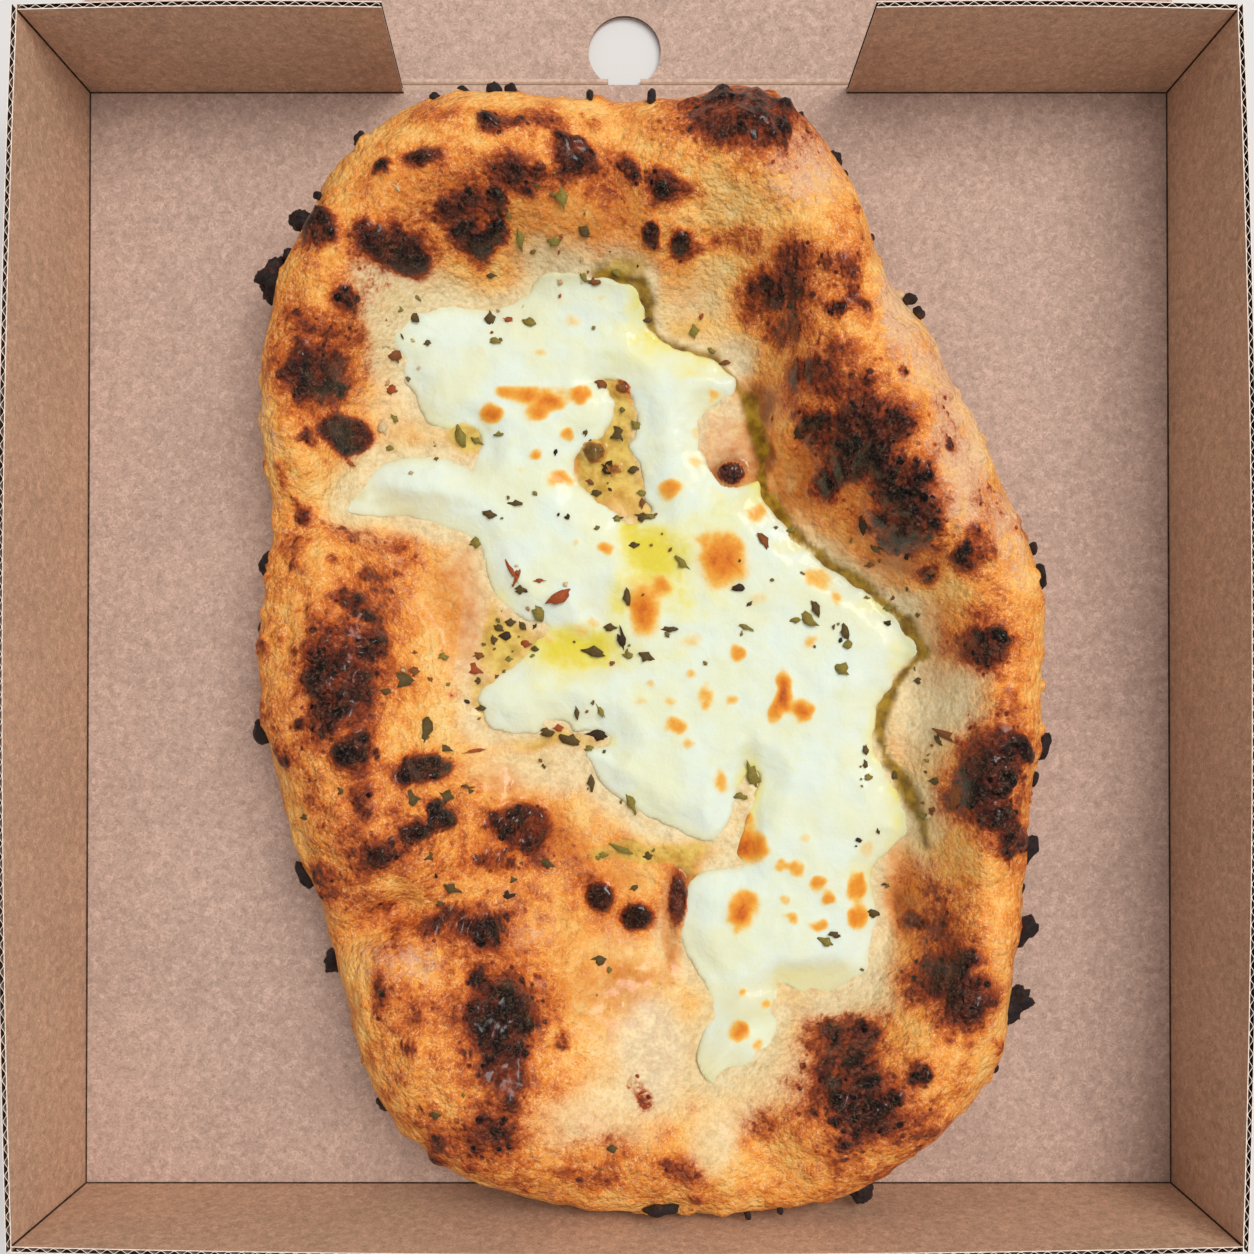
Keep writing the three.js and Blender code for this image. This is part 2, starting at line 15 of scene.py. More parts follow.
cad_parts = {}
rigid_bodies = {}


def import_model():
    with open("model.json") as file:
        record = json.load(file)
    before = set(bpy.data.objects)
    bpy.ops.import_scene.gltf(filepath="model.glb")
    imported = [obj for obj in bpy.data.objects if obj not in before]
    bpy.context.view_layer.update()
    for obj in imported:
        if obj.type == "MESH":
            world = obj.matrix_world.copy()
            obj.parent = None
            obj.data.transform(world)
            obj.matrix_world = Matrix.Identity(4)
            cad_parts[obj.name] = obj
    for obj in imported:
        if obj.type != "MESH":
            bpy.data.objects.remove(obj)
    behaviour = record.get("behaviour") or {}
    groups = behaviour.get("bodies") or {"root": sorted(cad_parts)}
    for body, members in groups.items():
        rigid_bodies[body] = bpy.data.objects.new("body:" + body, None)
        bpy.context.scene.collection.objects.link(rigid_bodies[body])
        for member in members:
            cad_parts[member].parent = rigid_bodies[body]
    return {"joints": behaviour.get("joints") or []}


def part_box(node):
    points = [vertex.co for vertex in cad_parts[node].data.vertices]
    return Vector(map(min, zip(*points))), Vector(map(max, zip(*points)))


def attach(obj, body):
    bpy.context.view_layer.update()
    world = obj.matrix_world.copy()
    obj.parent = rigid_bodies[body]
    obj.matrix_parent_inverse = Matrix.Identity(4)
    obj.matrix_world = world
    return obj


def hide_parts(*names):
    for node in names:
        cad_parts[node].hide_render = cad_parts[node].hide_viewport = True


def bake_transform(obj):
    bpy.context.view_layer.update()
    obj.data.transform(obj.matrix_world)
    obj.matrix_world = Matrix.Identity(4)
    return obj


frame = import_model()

LOG = logging.getLogger("garlic_bread")
MM = 0.001
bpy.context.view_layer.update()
FRONT_FACE = -151.3  # inner face of the tray's front wall, in millimetres
Array = np.ndarray
Triple = tuple[float, float, float]
Rgba = tuple[float, float, float, float]


# ---------------------------------------------------------------- camera, noise and small sums


@dataclass(frozen=True)
class PhotoView:
    """The camera that took the picture, over the tray, in millimetres and pixels."""

    frame_px: float = 1254.0
    focal_px: float = 1280.0
    axis_px: tuple[float, float] = (638.0, 700.4)
    tilt: float = math.radians(0.52)
    place: Triple = (2.64, -21.2, 356.5)
    sensor: float = 36.0

    def ground(self, px: Array, py: Array, height: Array | float) -> tuple[Array, Array]:
        """Where the ray through a pixel meets a level plane.

        Args:
            px, py: pixels of the picture's 1254 x 1254 frame.
            height: the plane's height, in millimetres.

        Returns:
            x and y of the point, in millimetres.
        """
        dx = (np.asarray(px, float) - self.axis_px[0]) / self.focal_px
        dy = -(np.asarray(py, float) - self.axis_px[1]) / self.focal_px
        along_y = dy * math.cos(self.tilt) + math.sin(self.tilt)
        down = dy * math.sin(self.tilt) - math.cos(self.tilt)
        reach = (height - self.place[2]) / down
        return self.place[0] + reach * dx, self.place[1] + reach * along_y

    def scale(self, height: Array | float) -> Array | float:
        """Millimetres in a pixel at a height."""
        return (self.place[2] - height) / self.focal_px

    def make_camera(self) -> bpy.types.Object:
        """Build the camera and make it the scene's.

        Returns:
            The camera's object.
        """
        data = bpy.data.cameras.new("photo_camera")
        data.sensor_width = self.sensor
        data.lens = self.sensor * self.focal_px / self.frame_px
        middle = self.frame_px / 2
        data.shift_x = (middle - self.axis_px[0]) / self.frame_px
        data.shift_y = (self.axis_px[1] - middle) / self.frame_px
        data.clip_start, data.clip_end = 0.01, 20.0
        camera = bpy.data.objects.new("photo_camera", data)
        camera.location = Vector(self.place) * MM
        camera.rotation_euler = Euler((self.tilt, 0.0, 0.0))
        bpy.context.scene.collection.objects.link(camera)
        bpy.context.scene.camera = camera
        return camera


VIEW = PhotoView()


@dataclass
class Noise:
    """Smooth seeded noise on arrays of points, about -1 to 1."""

    seed: int
    entries: int = 4096
    shift: float = 97.3
    primes: tuple[int, int, int] = (73856093, 19349663, 83492791)
    table: Array = field(init=False)

    def __post_init__(self) -> None:
        """Draw the table of values."""
        self.table = np.random.default_rng(self.seed).uniform(-1.0, 1.0, self.entries)

    def _corner(self, i: Array, j: Array, k: Array) -> Array:
        """Look up the value at a lattice corner, given by whole numbers."""
        a, b, c = self.primes
        return self.table[(i * a ^ j * b ^ k * c) & (self.entries - 1)]

    def at(self, x: Array, y: Array, z: Array | float, size: float) -> Array:
        """Noise at points.

        Args:
            x, y, z: the points.
            size: distance over which the noise changes.

        Returns:
            One value for each point.
        """
        p = [np.asarray(v, float) / size + self.shift for v in (x, y, z)]
        cell = [np.floor(v).astype(np.int64) for v in p]
        t = [v - c for v, c in zip(p, cell)]
        s = [v * v * v * (v * (v * 6 - 15) + 10) for v in t]
        total = 0.0
        for di in (0, 1):
            for dj in (0, 1):
                for dk in (0, 1):
                    share = (s[0] if di else 1 - s[0]) * (s[1] if dj else 1 - s[1])
                    share = share * (s[2] if dk else 1 - s[2])
                    total = total + share * self._corner(cell[0] + di, cell[1] + dj, cell[2] + dk)
        return total

    def layered(self, x: Array, y: Array, z: Array | float, size: float, layers: int = 3) -> Array:
        """Noise with finer layers of half the size and strength on top."""
        return sum(self.at(x, y, z, size / 2**i) / 2**i for i in range(layers))

    def bent(
        self,
        x: Array,
        y: Array,
        levels: tuple[float, float, float, float],
        broad: tuple[float, float],
        fine: tuple[float, float],
    ) -> tuple[Array, Array]:
        """Push points aside, so that what is laid on them gets an uneven edge.

        Args:
            x, y: the points.
            levels: where the noise is read for each of the four pushes.
            broad, fine: strength and size of a broad and a fine push.

        Returns:
            The new points.
        """
        a, b, c, d = levels
        wx = x + broad[0] * self.at(x, y, a, broad[1]) + fine[0] * self.at(x, y, b, fine[1])
        wy = y + broad[0] * self.at(x, y, c, broad[1]) + fine[0] * self.at(x, y, d, fine[1])
        return wx, wy


def smooth(t: Array) -> Array:
    """Ease from 0 to 1."""
    t = np.clip(t, 0.0, 1.0)
    return t * t * (3 - 2 * t)


def round_spline(values: Sequence[float], degrees: Array) -> Array:
    """A smooth closed curve through equally spaced values.

    Args:
        values: the values round a full turn.
        degrees: the angles to read it at.

    Returns:
        The curve's value at each angle.
    """
    v = np.asarray(values, float)
    count = len(v)
    at = np.mod(degrees / 360.0 * count, count)
    start = np.floor(at).astype(int)
    t = at - start
    a, b, c, d = (v[(start + i) % count] for i in (-1, 0, 1, 2))
    return b + 0.5 * t * (c - a + t * (2 * a - 5 * b + 4 * c - d + t * (3 * (b - c) + d - a)))


# ---------------------------------------------------------------- meshes


def coordinates(mesh: bpy.types.Mesh) -> Array:
    """Read the mesh's points.

    Args:
        mesh: the mesh.

    Returns:
        Its points in millimetres, one row each.
    """
    flat = np.empty(len(mesh.vertices) * 3)
    mesh.vertices.foreach_get("co", flat)
    return flat.reshape(-1, 3) / MM


def place_points(mesh: bpy.types.Mesh, points: Array) -> None:
    """Move the mesh's points to an array of places in millimetres."""
    mesh.vertices.foreach_set("co", (points * MM).astype(np.float32).ravel())
    mesh.update()


def paint(mesh: bpy.types.Mesh, name: str, values: Array) -> None:
    """Keep a number for each point as an attribute.

    Args:
        mesh: the mesh.
        name: the attribute's name.
        values: one number for each point.
    """
    layer = mesh.attributes.new(name, "FLOAT", "POINT")
    layer.data.foreach_set("value", np.asarray(values, np.float32))


def finish_piece(
    name: str,
    shape: bmesh.types.BMesh | bpy.types.Mesh,
    materials: Sequence[bpy.types.Material],
    body: str,
    rounded: bool = True,
) -> bpy.types.Object:
    """Make an object of a finished shape, dress it and let it ride on its body.

    Args:
        name: the piece's name.
        shape: a bmesh in millimetres, or a mesh in metres.
        materials: the piece's finishes.
        body: the body that it moves with.
        rounded: whether its faces are shaded smooth.

    Returns:
        The piece's object.
    """
    if isinstance(shape, bmesh.types.BMesh):
        bmesh.ops.scale(shape, vec=(MM, MM, MM), verts=shape.verts)
        mesh = bpy.data.meshes.new(name)
        shape.to_mesh(mesh)
        shape.free()
    else:
        mesh = shape
    for material in materials:
        mesh.materials.append(material)
    mesh.polygons.foreach_set("use_smooth", [rounded] * len(mesh.polygons))
    piece = bpy.data.objects.new(name, mesh)
    bpy.context.scene.collection.objects.link(piece)
    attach(piece, body)
    LOG.info("%s: %d faces on %s", name, len(mesh.polygons), body)
    return piece


# ---------------------------------------------------------------- shader graphs


class Socket:
    """An output of a shader node that can be used in sums."""

    def __init__(self, graph: "Graph", link: bpy.types.NodeSocket) -> None:
        """Keep the graph and the node's output."""
        self.graph = graph
        self.link = link

    def __add__(self, other: "Value") -> "Socket":
        """Sum."""
        return self.graph.math("ADD", self, other)

    __radd__ = __add__

    def __sub__(self, other: "Value") -> "Socket":
        """Difference."""
        return self.graph.math("SUBTRACT", self, other)

    def __rsub__(self, other: "Value") -> "Socket":
        """Difference the other way round."""
        return self.graph.math("SUBTRACT", other, self)

    def __mul__(self, other: "Value") -> "Socket":
        """Product."""
        return self.graph.math("MULTIPLY", self, other)

    __rmul__ = __mul__

    def clamp(self) -> "Socket":
        """Keep between 0 and 1."""
        settings = {"operation": "ADD", "use_clamp": True}
        return self.graph.node("ShaderNodeMath", settings, {0: self, 1: 0.0})

    def rise(self, low: float, high: float) -> "Socket":
        """Ease from 0 at low to 1 at high."""
        settings = {"interpolation_type": "SMOOTHSTEP"}
        return self.graph.node("ShaderNodeMapRange", settings, {0: self, 1: low, 2: high})


Value = Socket | float
Tint = Socket | Rgba


def srgb(red: float, green: float, blue: float) -> Rgba:
    """Turn a screen colour into a linear one.

    Args:
        red, green, blue: screen values of 0 to 255.

    Returns:
        The linear colour, opaque.
    """
    parts = (c / 255 for c in (red, green, blue))
    linear = [c / 12.92 if c <= 0.04045 else ((c + 0.055) / 1.055) ** 2.4 for c in parts]
    return (*linear, 1.0)


class Graph:
    """The node tree of one material, with a principled shader."""

    def __init__(self, name: str, **numbers: float | tuple[float, ...]) -> None:
        """Start a material.

        Args:
            name: the material's name.
            numbers: the principled shader's own even settings, by socket name with _ for spaces.
        """
        self.material = bpy.data.materials.new(name)
        self.material.use_nodes = True
        self.tree = self.material.node_tree
        self.shader = self.tree.nodes["Principled BSDF"]
        for key, value in numbers.items():
            self.shader.inputs[key.replace("_", " ")].default_value = value
        self.place = self.node("ShaderNodeTexCoord", {}, {}, "Object")

    def node(
        self,
        kind: str,
        settings: dict[str, object],
        inputs: dict[str | int, object],
        output: str | int = 0,
    ) -> Socket:
        """Add a node.

        Args:
            kind: the node's type.
            settings: its own properties; stops sets a ramp's colours.
            inputs: links or values of its sockets.
            output: which output to return.

        Returns:
            That output.
        """
        made = self.tree.nodes.new(kind)
        for key, value in settings.items():
            if key == "stops":
                ramp = made.color_ramp.elements
                while len(ramp) < len(value):
                    ramp.new(1.0)
                for element, (at, colour) in zip(ramp, value):
                    element.position = at
                    element.color = colour
            else:
                setattr(made, key, value)
        for key, value in inputs.items():
            if isinstance(value, Socket):
                self.tree.links.new(value.link, made.inputs[key])
            else:
                made.inputs[key].default_value = value
        return Socket(self, made.outputs[output])

    def math(self, operation: str, a: Value, b: Value = 0.0) -> Socket:
        """A Math node on two values."""
        return self.node("ShaderNodeMath", {"operation": operation}, {0: a, 1: b})

    def painted(self, name: str) -> Socket:
        """The attribute painted on the mesh's points."""
        return self.node("ShaderNodeAttribute", {"attribute_name": name}, {}, "Fac")

    def noise(self, size_mm: float, detail: float = 2.0, rough: float = 0.5, warp: float = 0.0) -> Socket:
        """Add noise on the object's coordinates.

        Args:
            size_mm: size of its features.
            detail: how many finer layers it has.
            rough: how strong each layer is beside the last.
            warp: how much it twists itself.

        Returns:
            The noise, 0 to 1.
        """
        inputs = {
            "Vector": self.place,
            "Scale": 1.0 / (size_mm * MM),
            "Detail": detail,
            "Roughness": rough,
            "Distortion": warp,
        }
        return self.node("ShaderNodeTexNoise", {}, inputs)

    def cells(self, size_mm: float) -> Socket:
        """Distance to the nearest of scattered points."""
        return self.node("ShaderNodeTexVoronoi", {}, {"Vector": self.place, "Scale": 1.0 / (size_mm * MM)})

    def moved(self, offset: Triple) -> Socket:
        """Object coordinates moved by an offset, for noise that differs from the first."""
        return self.node("ShaderNodeMapping", {}, {"Vector": self.place, "Location": offset})

    def fibres(self, offset: Triple, size_mm: float, thin: float) -> tuple[Socket, Socket]:
        """Two kinds of short curled fibre: thin level lines of one noise, broken up by another.

        Args:
            offset: moves this set of fibres away from the others.
            size_mm: size of the curls.
            thin: half the width of a fibre, in the noise's own value.

        Returns:
            Light fibres and dark fibres, each 1 on a fibre and 0 off it.
        """
        at = self.moved(offset)
        scale = 1.0 / (size_mm * MM)
        inputs = {"Vector": at, "Scale": scale, "Detail": 1.0, "Distortion": 1.1}
        curls = self.node("ShaderNodeTexNoise", {}, inputs)
        broken = self.node("ShaderNodeTexNoise", {}, {"Vector": at, "Scale": scale * 0.9, "Detail": 0.0})
        light = (1.0 - self.math("ABSOLUTE", curls - 0.46).rise(0.0, thin)) * broken.rise(0.47, 0.58)
        dark = (1.0 - self.math("ABSOLUTE", curls - 0.54).rise(0.0, thin)) * (1.0 - broken.rise(0.42, 0.53))
        return light, dark

    def ramp(self, value: Socket, *stops: tuple[float, Rgba]) -> Socket:
        """Colours along a value."""
        return self.node("ShaderNodeValToRGB", {"stops": stops}, {"Fac": value})

    def mix(self, share: Value, a: Tint, b: Tint) -> Socket:
        """Mix two colours."""
        inputs = {0: share, 6: a, 7: b}
        return self.node("ShaderNodeMix", {"data_type": "RGBA"}, inputs, 2)

    def tint(self, share: Value, a: Tint, b: Tint) -> Socket:
        """Multiply a colour by another, by a share."""
        settings = {"data_type": "RGBA", "blend_type": "MULTIPLY"}
        return self.node("ShaderNodeMix", settings, {0: share, 6: a, 7: b}, 2)

    def bump(self, height: Socket, depth_mm: float) -> None:
        """Let a height of 0 to 1 raise the surface by a depth."""
        inputs = {"Height": height, "Distance": depth_mm * MM, "Strength": 1.0}
        self.set("Normal", self.node("ShaderNodeBump", {}, inputs))

    def set(self, name: str, value: Socket) -> None:
        """Link a varying value to the shader."""
        self.tree.links.new(value.link, self.shader.inputs[name])


# ---------------------------------------------------------------- finishes


@dataclass(frozen=True)
class KraftFinish:
    """Brown recycled liner paper with short curled fibres."""

    tone: Triple = (203, 166, 138)
    name: str = "kraft_walls"

    def make(self) -> bpy.types.Material:
        """Build the material.

        Returns:
            The material.
        """
        g = Graph(self.name, Specular_IOR_Level=0.2)
        patches = g.noise(38.0, 1.0)
        deep = srgb(*(0.965 * c for c in self.tone))
        base = g.mix(patches.rise(0.35, 0.65), srgb(*self.tone), deep)
        fine = g.noise(0.55, 1.0, 0.65)
        grain = g.noise(1.7, 2.0, 0.6)
        shade = ((fine - 0.5) * 1.2 + (grain - 0.5) * 1.2 + 0.1).clamp()
        base = g.tint(shade, base, srgb(196, 184, 174))
        light, dark = g.fibres((3.1, 0.7, 1.3), 2.5, 0.05)
        more_light, more_dark = g.fibres((1.1, 2.7, 0.3), 1.8, 0.05)
        light, dark = light + more_light, dark + more_dark
        colour = g.mix(light.clamp() * 0.48, base, srgb(*(min(255, 1.14 * c + 8) for c in self.tone)))
        colour = g.mix(dark.clamp() * 0.44, colour, srgb(*(0.74 * c for c in self.tone)))
        specks = 1.0 - g.cells(6.5).rise(0.04, 0.06)
        colour = g.mix(specks * 0.5, colour, srgb(*(0.6 * c for c in self.tone)))
        g.set("Base Color", colour)
        g.set("Roughness", 0.74 + (fine - 0.5) * 0.3)
        g.bump(fine * 0.5 + grain * 0.9, 0.1)
        return g.material


@dataclass(frozen=True)
class PaperFinish:
    """Bare fuzzy paper: cut edges, the fluted sheet, and paper painted dark with the shade deep in the board.
    """

    name: str
    dark: Triple
    pale: Triple
    grain: float
    detail: float = 2.0
    rough: float = 0.5
    crisp: bool = True
    specular: float = 0.15
    roughness: tuple[float, float] = (0.85, 0.1)
    relief: float = 0.0

    def make(self) -> bpy.types.Material:
        """Build the material.

        Returns:
            The material.
        """
        g = Graph(self.name, Specular_IOR_Level=self.specular)
        fuzz = g.noise(self.grain, self.detail, self.rough)
        share = fuzz.rise(0.3, 0.7) if self.crisp else fuzz
        g.set("Base Color", g.mix(share, srgb(*self.dark), srgb(*self.pale)))
        g.set("Roughness", self.roughness[0] + fuzz * self.roughness[1])
        if self.relief:
            g.bump(fuzz, self.relief)
        return g.material


CUT_EDGE = PaperFinish("cut_paper", (214, 192, 176), (240, 228, 216), 0.5, roughness=(0.8, 0.15), relief=0.08)
MEDIUM = PaperFinish("fluted_medium", (132, 104, 86), (168, 138, 118), 0.8, crisp=False, relief=0.05)
# Painted shade: dark paper for faces deep inside the board and for the strips at the seams, where only shade
# falls.
SHADED = PaperFinish("shaded_paper", (46, 32, 26), (84, 60, 46), 1.1, 3.0, 0.6, specular=0.1)


@dataclass(frozen=True)
class CreaseFinish:
    """Liner paper pressed into a fold, darker in the groove: crushed paper and painted shade."""

    name: str = "creased_liner"

    def make(self) -> bpy.types.Material:
        """Build the material.

        Returns:
            The material.
        """
        g = Graph(self.name, Specular_IOR_Level=0.2)
        rub = g.noise(1.4, 3.0, 0.6)
        press = g.painted("press")
        paper = g.mix(rub.rise(0.3, 0.7), srgb(176, 146, 126), srgb(200, 172, 152))
        # Darker along the groove: partly crushed paper, partly painted shade.
        g.set("Base Color", g.mix(press * 0.75, paper, srgb(88, 60, 46)))
        g.set("Roughness", 0.75 + rub * 0.15)
        g.bump(rub, 0.05)
        return g.material


@dataclass(frozen=True)
class CrustFinish:
    """Baked dough, from cream through gold and red-brown to char."""

    name: str = "baked_crust"

    def make(self) -> bpy.types.Material:
        """Build the material.

        Returns:
            The material.
        """
        g = Graph(self.name, Specular_IOR_Level=0.22, Coat_Roughness=0.16)
        bake = g.painted("bake")
        oil = g.painted("oil")
        pale = g.painted("pale")
        flour = g.painted("flour")
        glaze = g.painted("glaze")
        line = g.painted("line")
        fine = g.noise(1.1, 2.0, 0.55)
        medium = g.noise(3.0, 2.0, 0.5)
        broad = g.noise(8.0, 2.0, 0.5)
        streaks = g.noise(1.7, 1.0, 0.5, 1.8)
        active = 0.45 + bake.rise(0.2, 0.45) * 0.35 - bake.rise(0.6, 0.8) * 0.2
        mottle = (fine - 0.5) * 0.3 + (medium - 0.5) * 0.6 + (broad - 0.5) * 0.8 + (streaks - 0.5) * 0.4
        dots = self._dots(g, 2.7, 0.30, 0.16, 0.0) + self._dots(g, 5.3, 0.24, 0.12, 0.37)
        speckled = 0.02 + bake.rise(0.35, 0.75) * 0.26 + flour * 0.12
        level = (bake + mottle * active * 0.8 + dots * speckled).clamp()
        colour = g.ramp(
            level,
            (0.0, srgb(226, 206, 160)),
            (0.15, srgb(230, 192, 120)),
            (0.28, srgb(228, 164, 80)),
            (0.40, srgb(218, 134, 52)),
            (0.53, srgb(188, 94, 34)),
            (0.66, srgb(136, 56, 26)),
            (0.78, srgb(86, 37, 26)),
            (0.89, srgb(46, 26, 24)),
            (1.0, srgb(24, 18, 20)),
        )
        light = 1.0 - level.rise(0.42, 0.66)
        cream = g.mix((medium * 0.5 + fine * 0.5).rise(0.35, 0.65), srgb(222, 208, 170), srgb(204, 180, 130))
        colour = g.mix((pale * 1.1 + (medium - 0.5) * 0.9 * pale).clamp() * light * 0.92, colour, cream)
        dust = (flour * 1.15 + (fine - 0.5) * 1.2 + (medium - 0.5) * 1.0).rise(0.4, 1.0)
        colour = g.mix(dust * light * 0.6, colour, srgb(204, 176, 150))
        # Light cream flecks: partly flour, partly painted highlight.
        flour_and_highlight_flecks = sum(g.fibres((0.7, 1.9, 2.2), 1.5, 0.055), 0.0)
        colour = g.mix(flour_and_highlight_flecks * (0.08 + light * 0.38), colour, srgb(244, 208, 156))
        amber = g.mix(glaze.rise(0.5, 1.0), srgb(204, 118, 40), srgb(126, 54, 10))
        colour = g.mix((glaze * 1.1 + (medium - 0.5) * 1.6 * glaze).clamp() * light * 0.85, colour, amber)
        colour = g.tint(oil * 0.8, colour, srgb(250, 206, 104))
        pool = g.mix(medium.rise(0.3, 0.7), srgb(214, 190, 96), srgb(178, 144, 54))
        colour = g.mix(oil.rise(0.45, 0.95) * (0.2 + light * 0.6), colour, pool)
        olive = g.mix(medium.rise(0.3, 0.7), srgb(160, 122, 14), srgb(112, 78, 2))
        colour = g.mix(line * (0.45 + light * 0.5), colour, olive)
        g.set("Base Color", colour)
        g.set("Roughness", (0.6 + (fine - 0.5) * 0.5 - level.rise(0.6, 0.9) * 0.16).clamp())
        shine = 0.12 + (oil + line) * 0.9 + glaze * 0.8 + level.rise(0.5, 0.8) * 0.42
        g.set("Coat Weight", shine.clamp())
        pores = g.cells(1.9)
        bubbles = (1.0 - pores.rise(0.0, 0.8)) * (0.3 + bake.rise(0.45, 0.8) * 0.8)
        relief = medium * 1.2 + fine * 0.55 + bubbles * 0.7
        g.bump(relief * (1.0 - (pale * 0.55 + oil * 0.3 + glaze * 0.3).clamp()), 1.15)
        return g.material

    def _dots(self, g: Graph, size_mm: float, wide: float, narrow: float, offset: float) -> Socket:
        """Scattered dark dots: some of the middles of random cells.

        Args:
            g: the graph.
            size_mm: distance between cells.
            wide, narrow: where a dot fades out and where it is full, in cell sizes.
            offset: moves this set of dots away from the others.

        Returns:
            1 in a dot, 0 outside it.
        """
        at = g.moved((offset, offset * 0.7, offset * 0.3))
        inputs = {"Vector": at, "Scale": 1.0 / (size_mm * MM)}
        near = g.node("ShaderNodeTexVoronoi", {}, inputs)
        chance = Socket(g, near.link.node.outputs["Color"])
        return (1.0 - near.rise(narrow, wide)) * g.math("GREATER_THAN", chance, 0.56)


@dataclass(frozen=True)
class CharFinish:
    """A burst blister baked to black carbon, with a dull gloss."""

    name: str = "charred_blister"

    def make(self) -> bpy.types.Material:
        """Build the material.

        Returns:
            The material.
        """
        g = Graph(self.name, Specular_IOR_Level=0.5)
        fine = g.noise(1.3, 3.0, 0.6)
        warm = g.noise(4.0, 2.0)
        black = g.mix(fine, srgb(24, 19, 20), srgb(52, 42, 42))
        g.set("Base Color", g.mix(warm.rise(0.58, 0.75) * 0.6, black, srgb(104, 58, 34)))
        g.set("Roughness", 0.34 + fine * 0.4)
        g.bump(fine + g.noise(0.5, 2.0) * 0.4, 0.5)
        return g.material


@dataclass(frozen=True)
class CheeseFinish:
    """Melted white cheese with toasted spots and yellow oil."""

    name: str = "melted_cheese"

    def make(self) -> bpy.types.Material:
        """Build the material.

        Returns:
            The material.
        """
        g = Graph(
            self.name,
            Specular_IOR_Level=0.35,
            Subsurface_Weight=0.2,
            Subsurface_Scale=0.002,
            Subsurface_Radius=(1.0, 0.9, 0.7),
            Coat_Roughness=0.1,
        )
        toast = g.painted("toast")
        tint = g.painted("yellow")
        thin = g.painted("thin")
        fine = g.noise(1.0, 2.0, 0.6)
        medium = g.noise(4.5, 2.0, 0.6, 0.6)
        broad = g.noise(15.0, 2.0, 0.5)
        milk = g.mix(broad.rise(0.35, 0.65), srgb(214, 223, 208), srgb(217, 220, 188))
        milk = g.mix((medium.rise(0.5, 0.75)) * 0.35, milk, srgb(216, 214, 168))
        milk = g.mix((thin + (medium - 0.5) * thin).clamp() * 0.75, milk, srgb(206, 194, 142))
        yellow = (tint + (medium - 0.5) * 1.1 * tint + (broad - 0.5) * 0.5 * tint).clamp()
        golden = g.mix(yellow.rise(0.4, 1.0), srgb(224, 218, 142), srgb(218, 200, 50))
        milk = g.mix(yellow.rise(0.1, 0.75) * 0.92, milk, golden)
        heat = (toast + ((fine - 0.5) * 0.2 + (medium - 0.5) * 0.5) * toast.rise(0.02, 0.5)).clamp()
        brown = g.ramp(
            heat,
            (0.10, srgb(226, 210, 146)),
            (0.30, srgb(226, 184, 92)),
            (0.50, srgb(222, 152, 54)),
            (0.70, srgb(212, 122, 30)),
            (0.85, srgb(188, 90, 26)),
            (1.0, srgb(120, 46, 20)),
        )
        g.set("Base Color", g.mix(heat.rise(0.05, 0.42), milk, brown))
        g.set("Roughness", (0.42 + (fine - 0.5) * 0.2 + heat * 0.1 - tint * 0.12).clamp())
        g.set("Coat Weight", (0.22 + tint * 0.5 + heat * 0.2).clamp())
        g.bump(medium * 0.7 + fine * 0.3 + heat * 0.5 + broad * 0.4, 0.35)
        return g.material


@dataclass(frozen=True)
class HerbFinish:
    """Dried oregano and other leaf scraps, each with its own tone."""

    name: str = "dried_herb"

    def make(self) -> bpy.types.Material:
        """Build the material.

        Returns:
            The material.
        """
        g = Graph(self.name, Specular_IOR_Level=0.4)
        tone = g.painted("tone")
        fine = g.noise(0.6, 2.0, 0.6)
        colour = g.ramp(
            tone,
            (0.0, srgb(50, 36, 30)),
            (0.2, srgb(96, 76, 40)),
            (0.4, srgb(138, 122, 52)),
            (0.6, srgb(128, 78, 38)),
            (0.8, srgb(162, 78, 38)),
            (1.0, srgb(214, 188, 140)),
        )
        g.set("Base Color", g.tint((fine - 0.35).clamp(), colour, srgb(120, 110, 90)))
        g.set("Roughness", 0.42 + fine * 0.3)
        g.bump(fine, 0.12)
        return g.material


@dataclass(frozen=True)
class FloorFinish:
    """The studio's plain pale floor."""

    name: str = "studio_floor"

    def make(self) -> bpy.types.Material:
        """Build the material.

        Returns:
            The material.
        """
        g = Graph(self.name, Specular_IOR_Level=0.2, Roughness=0.8)
        g.shader.inputs["Base Color"].default_value = srgb(206, 204, 202)
        return g.material


# ---------------------------------------------------------------- spots measured on the picture


@dataclass(frozen=True)
class Spots:
    """Oval spots: centre and half-axes in the picture's pixels, and strength."""

    rows: tuple[tuple[float, ...], ...]
    height: float = 16.0
    softness: float = 1.0

    def cover(
        self,
        x: Array,
        y: Array,
        place: Callable[[Array, Array], tuple[Array, Array, Array]] | None = None,
        grow: float = 1.0,
    ) -> Array:
        """How strongly the spots cover points, 0 to 1.

        Args:
            x, y: the points, in millimetres.
            place: gives the point of a surface that a pixel shows, if that isn't level.
            grow: how much larger than measured the spots are taken.

        Returns:
            The cover at each point.
        """
        rows = np.array(self.rows, float)
        cx, cy = VIEW.ground(rows[:, 0], rows[:, 1], self.height)
        height = np.full(len(rows), self.height)
        if place:
            cx, cy, height = place(rows[:, 0], rows[:, 1])
        rx, ry = (rows[:, i] * VIEW.scale(height) * grow for i in (2, 3))
        left = np.ones(len(x))
        for i in range(len(rows)):
            reach = 2.2 * max(rx[i], ry[i])
            near = (np.abs(x - cx[i]) < reach) & (np.abs(y - cy[i]) < reach)
            d = np.hypot((x[near] - cx[i]) / rx[i], (y[near] - cy[i]) / ry[i])
            left[near] *= 1 - rows[i, 4] * smooth((1.0 + 0.45 * self.softness - d) / (0.9 * self.softness))
        return 1 - left


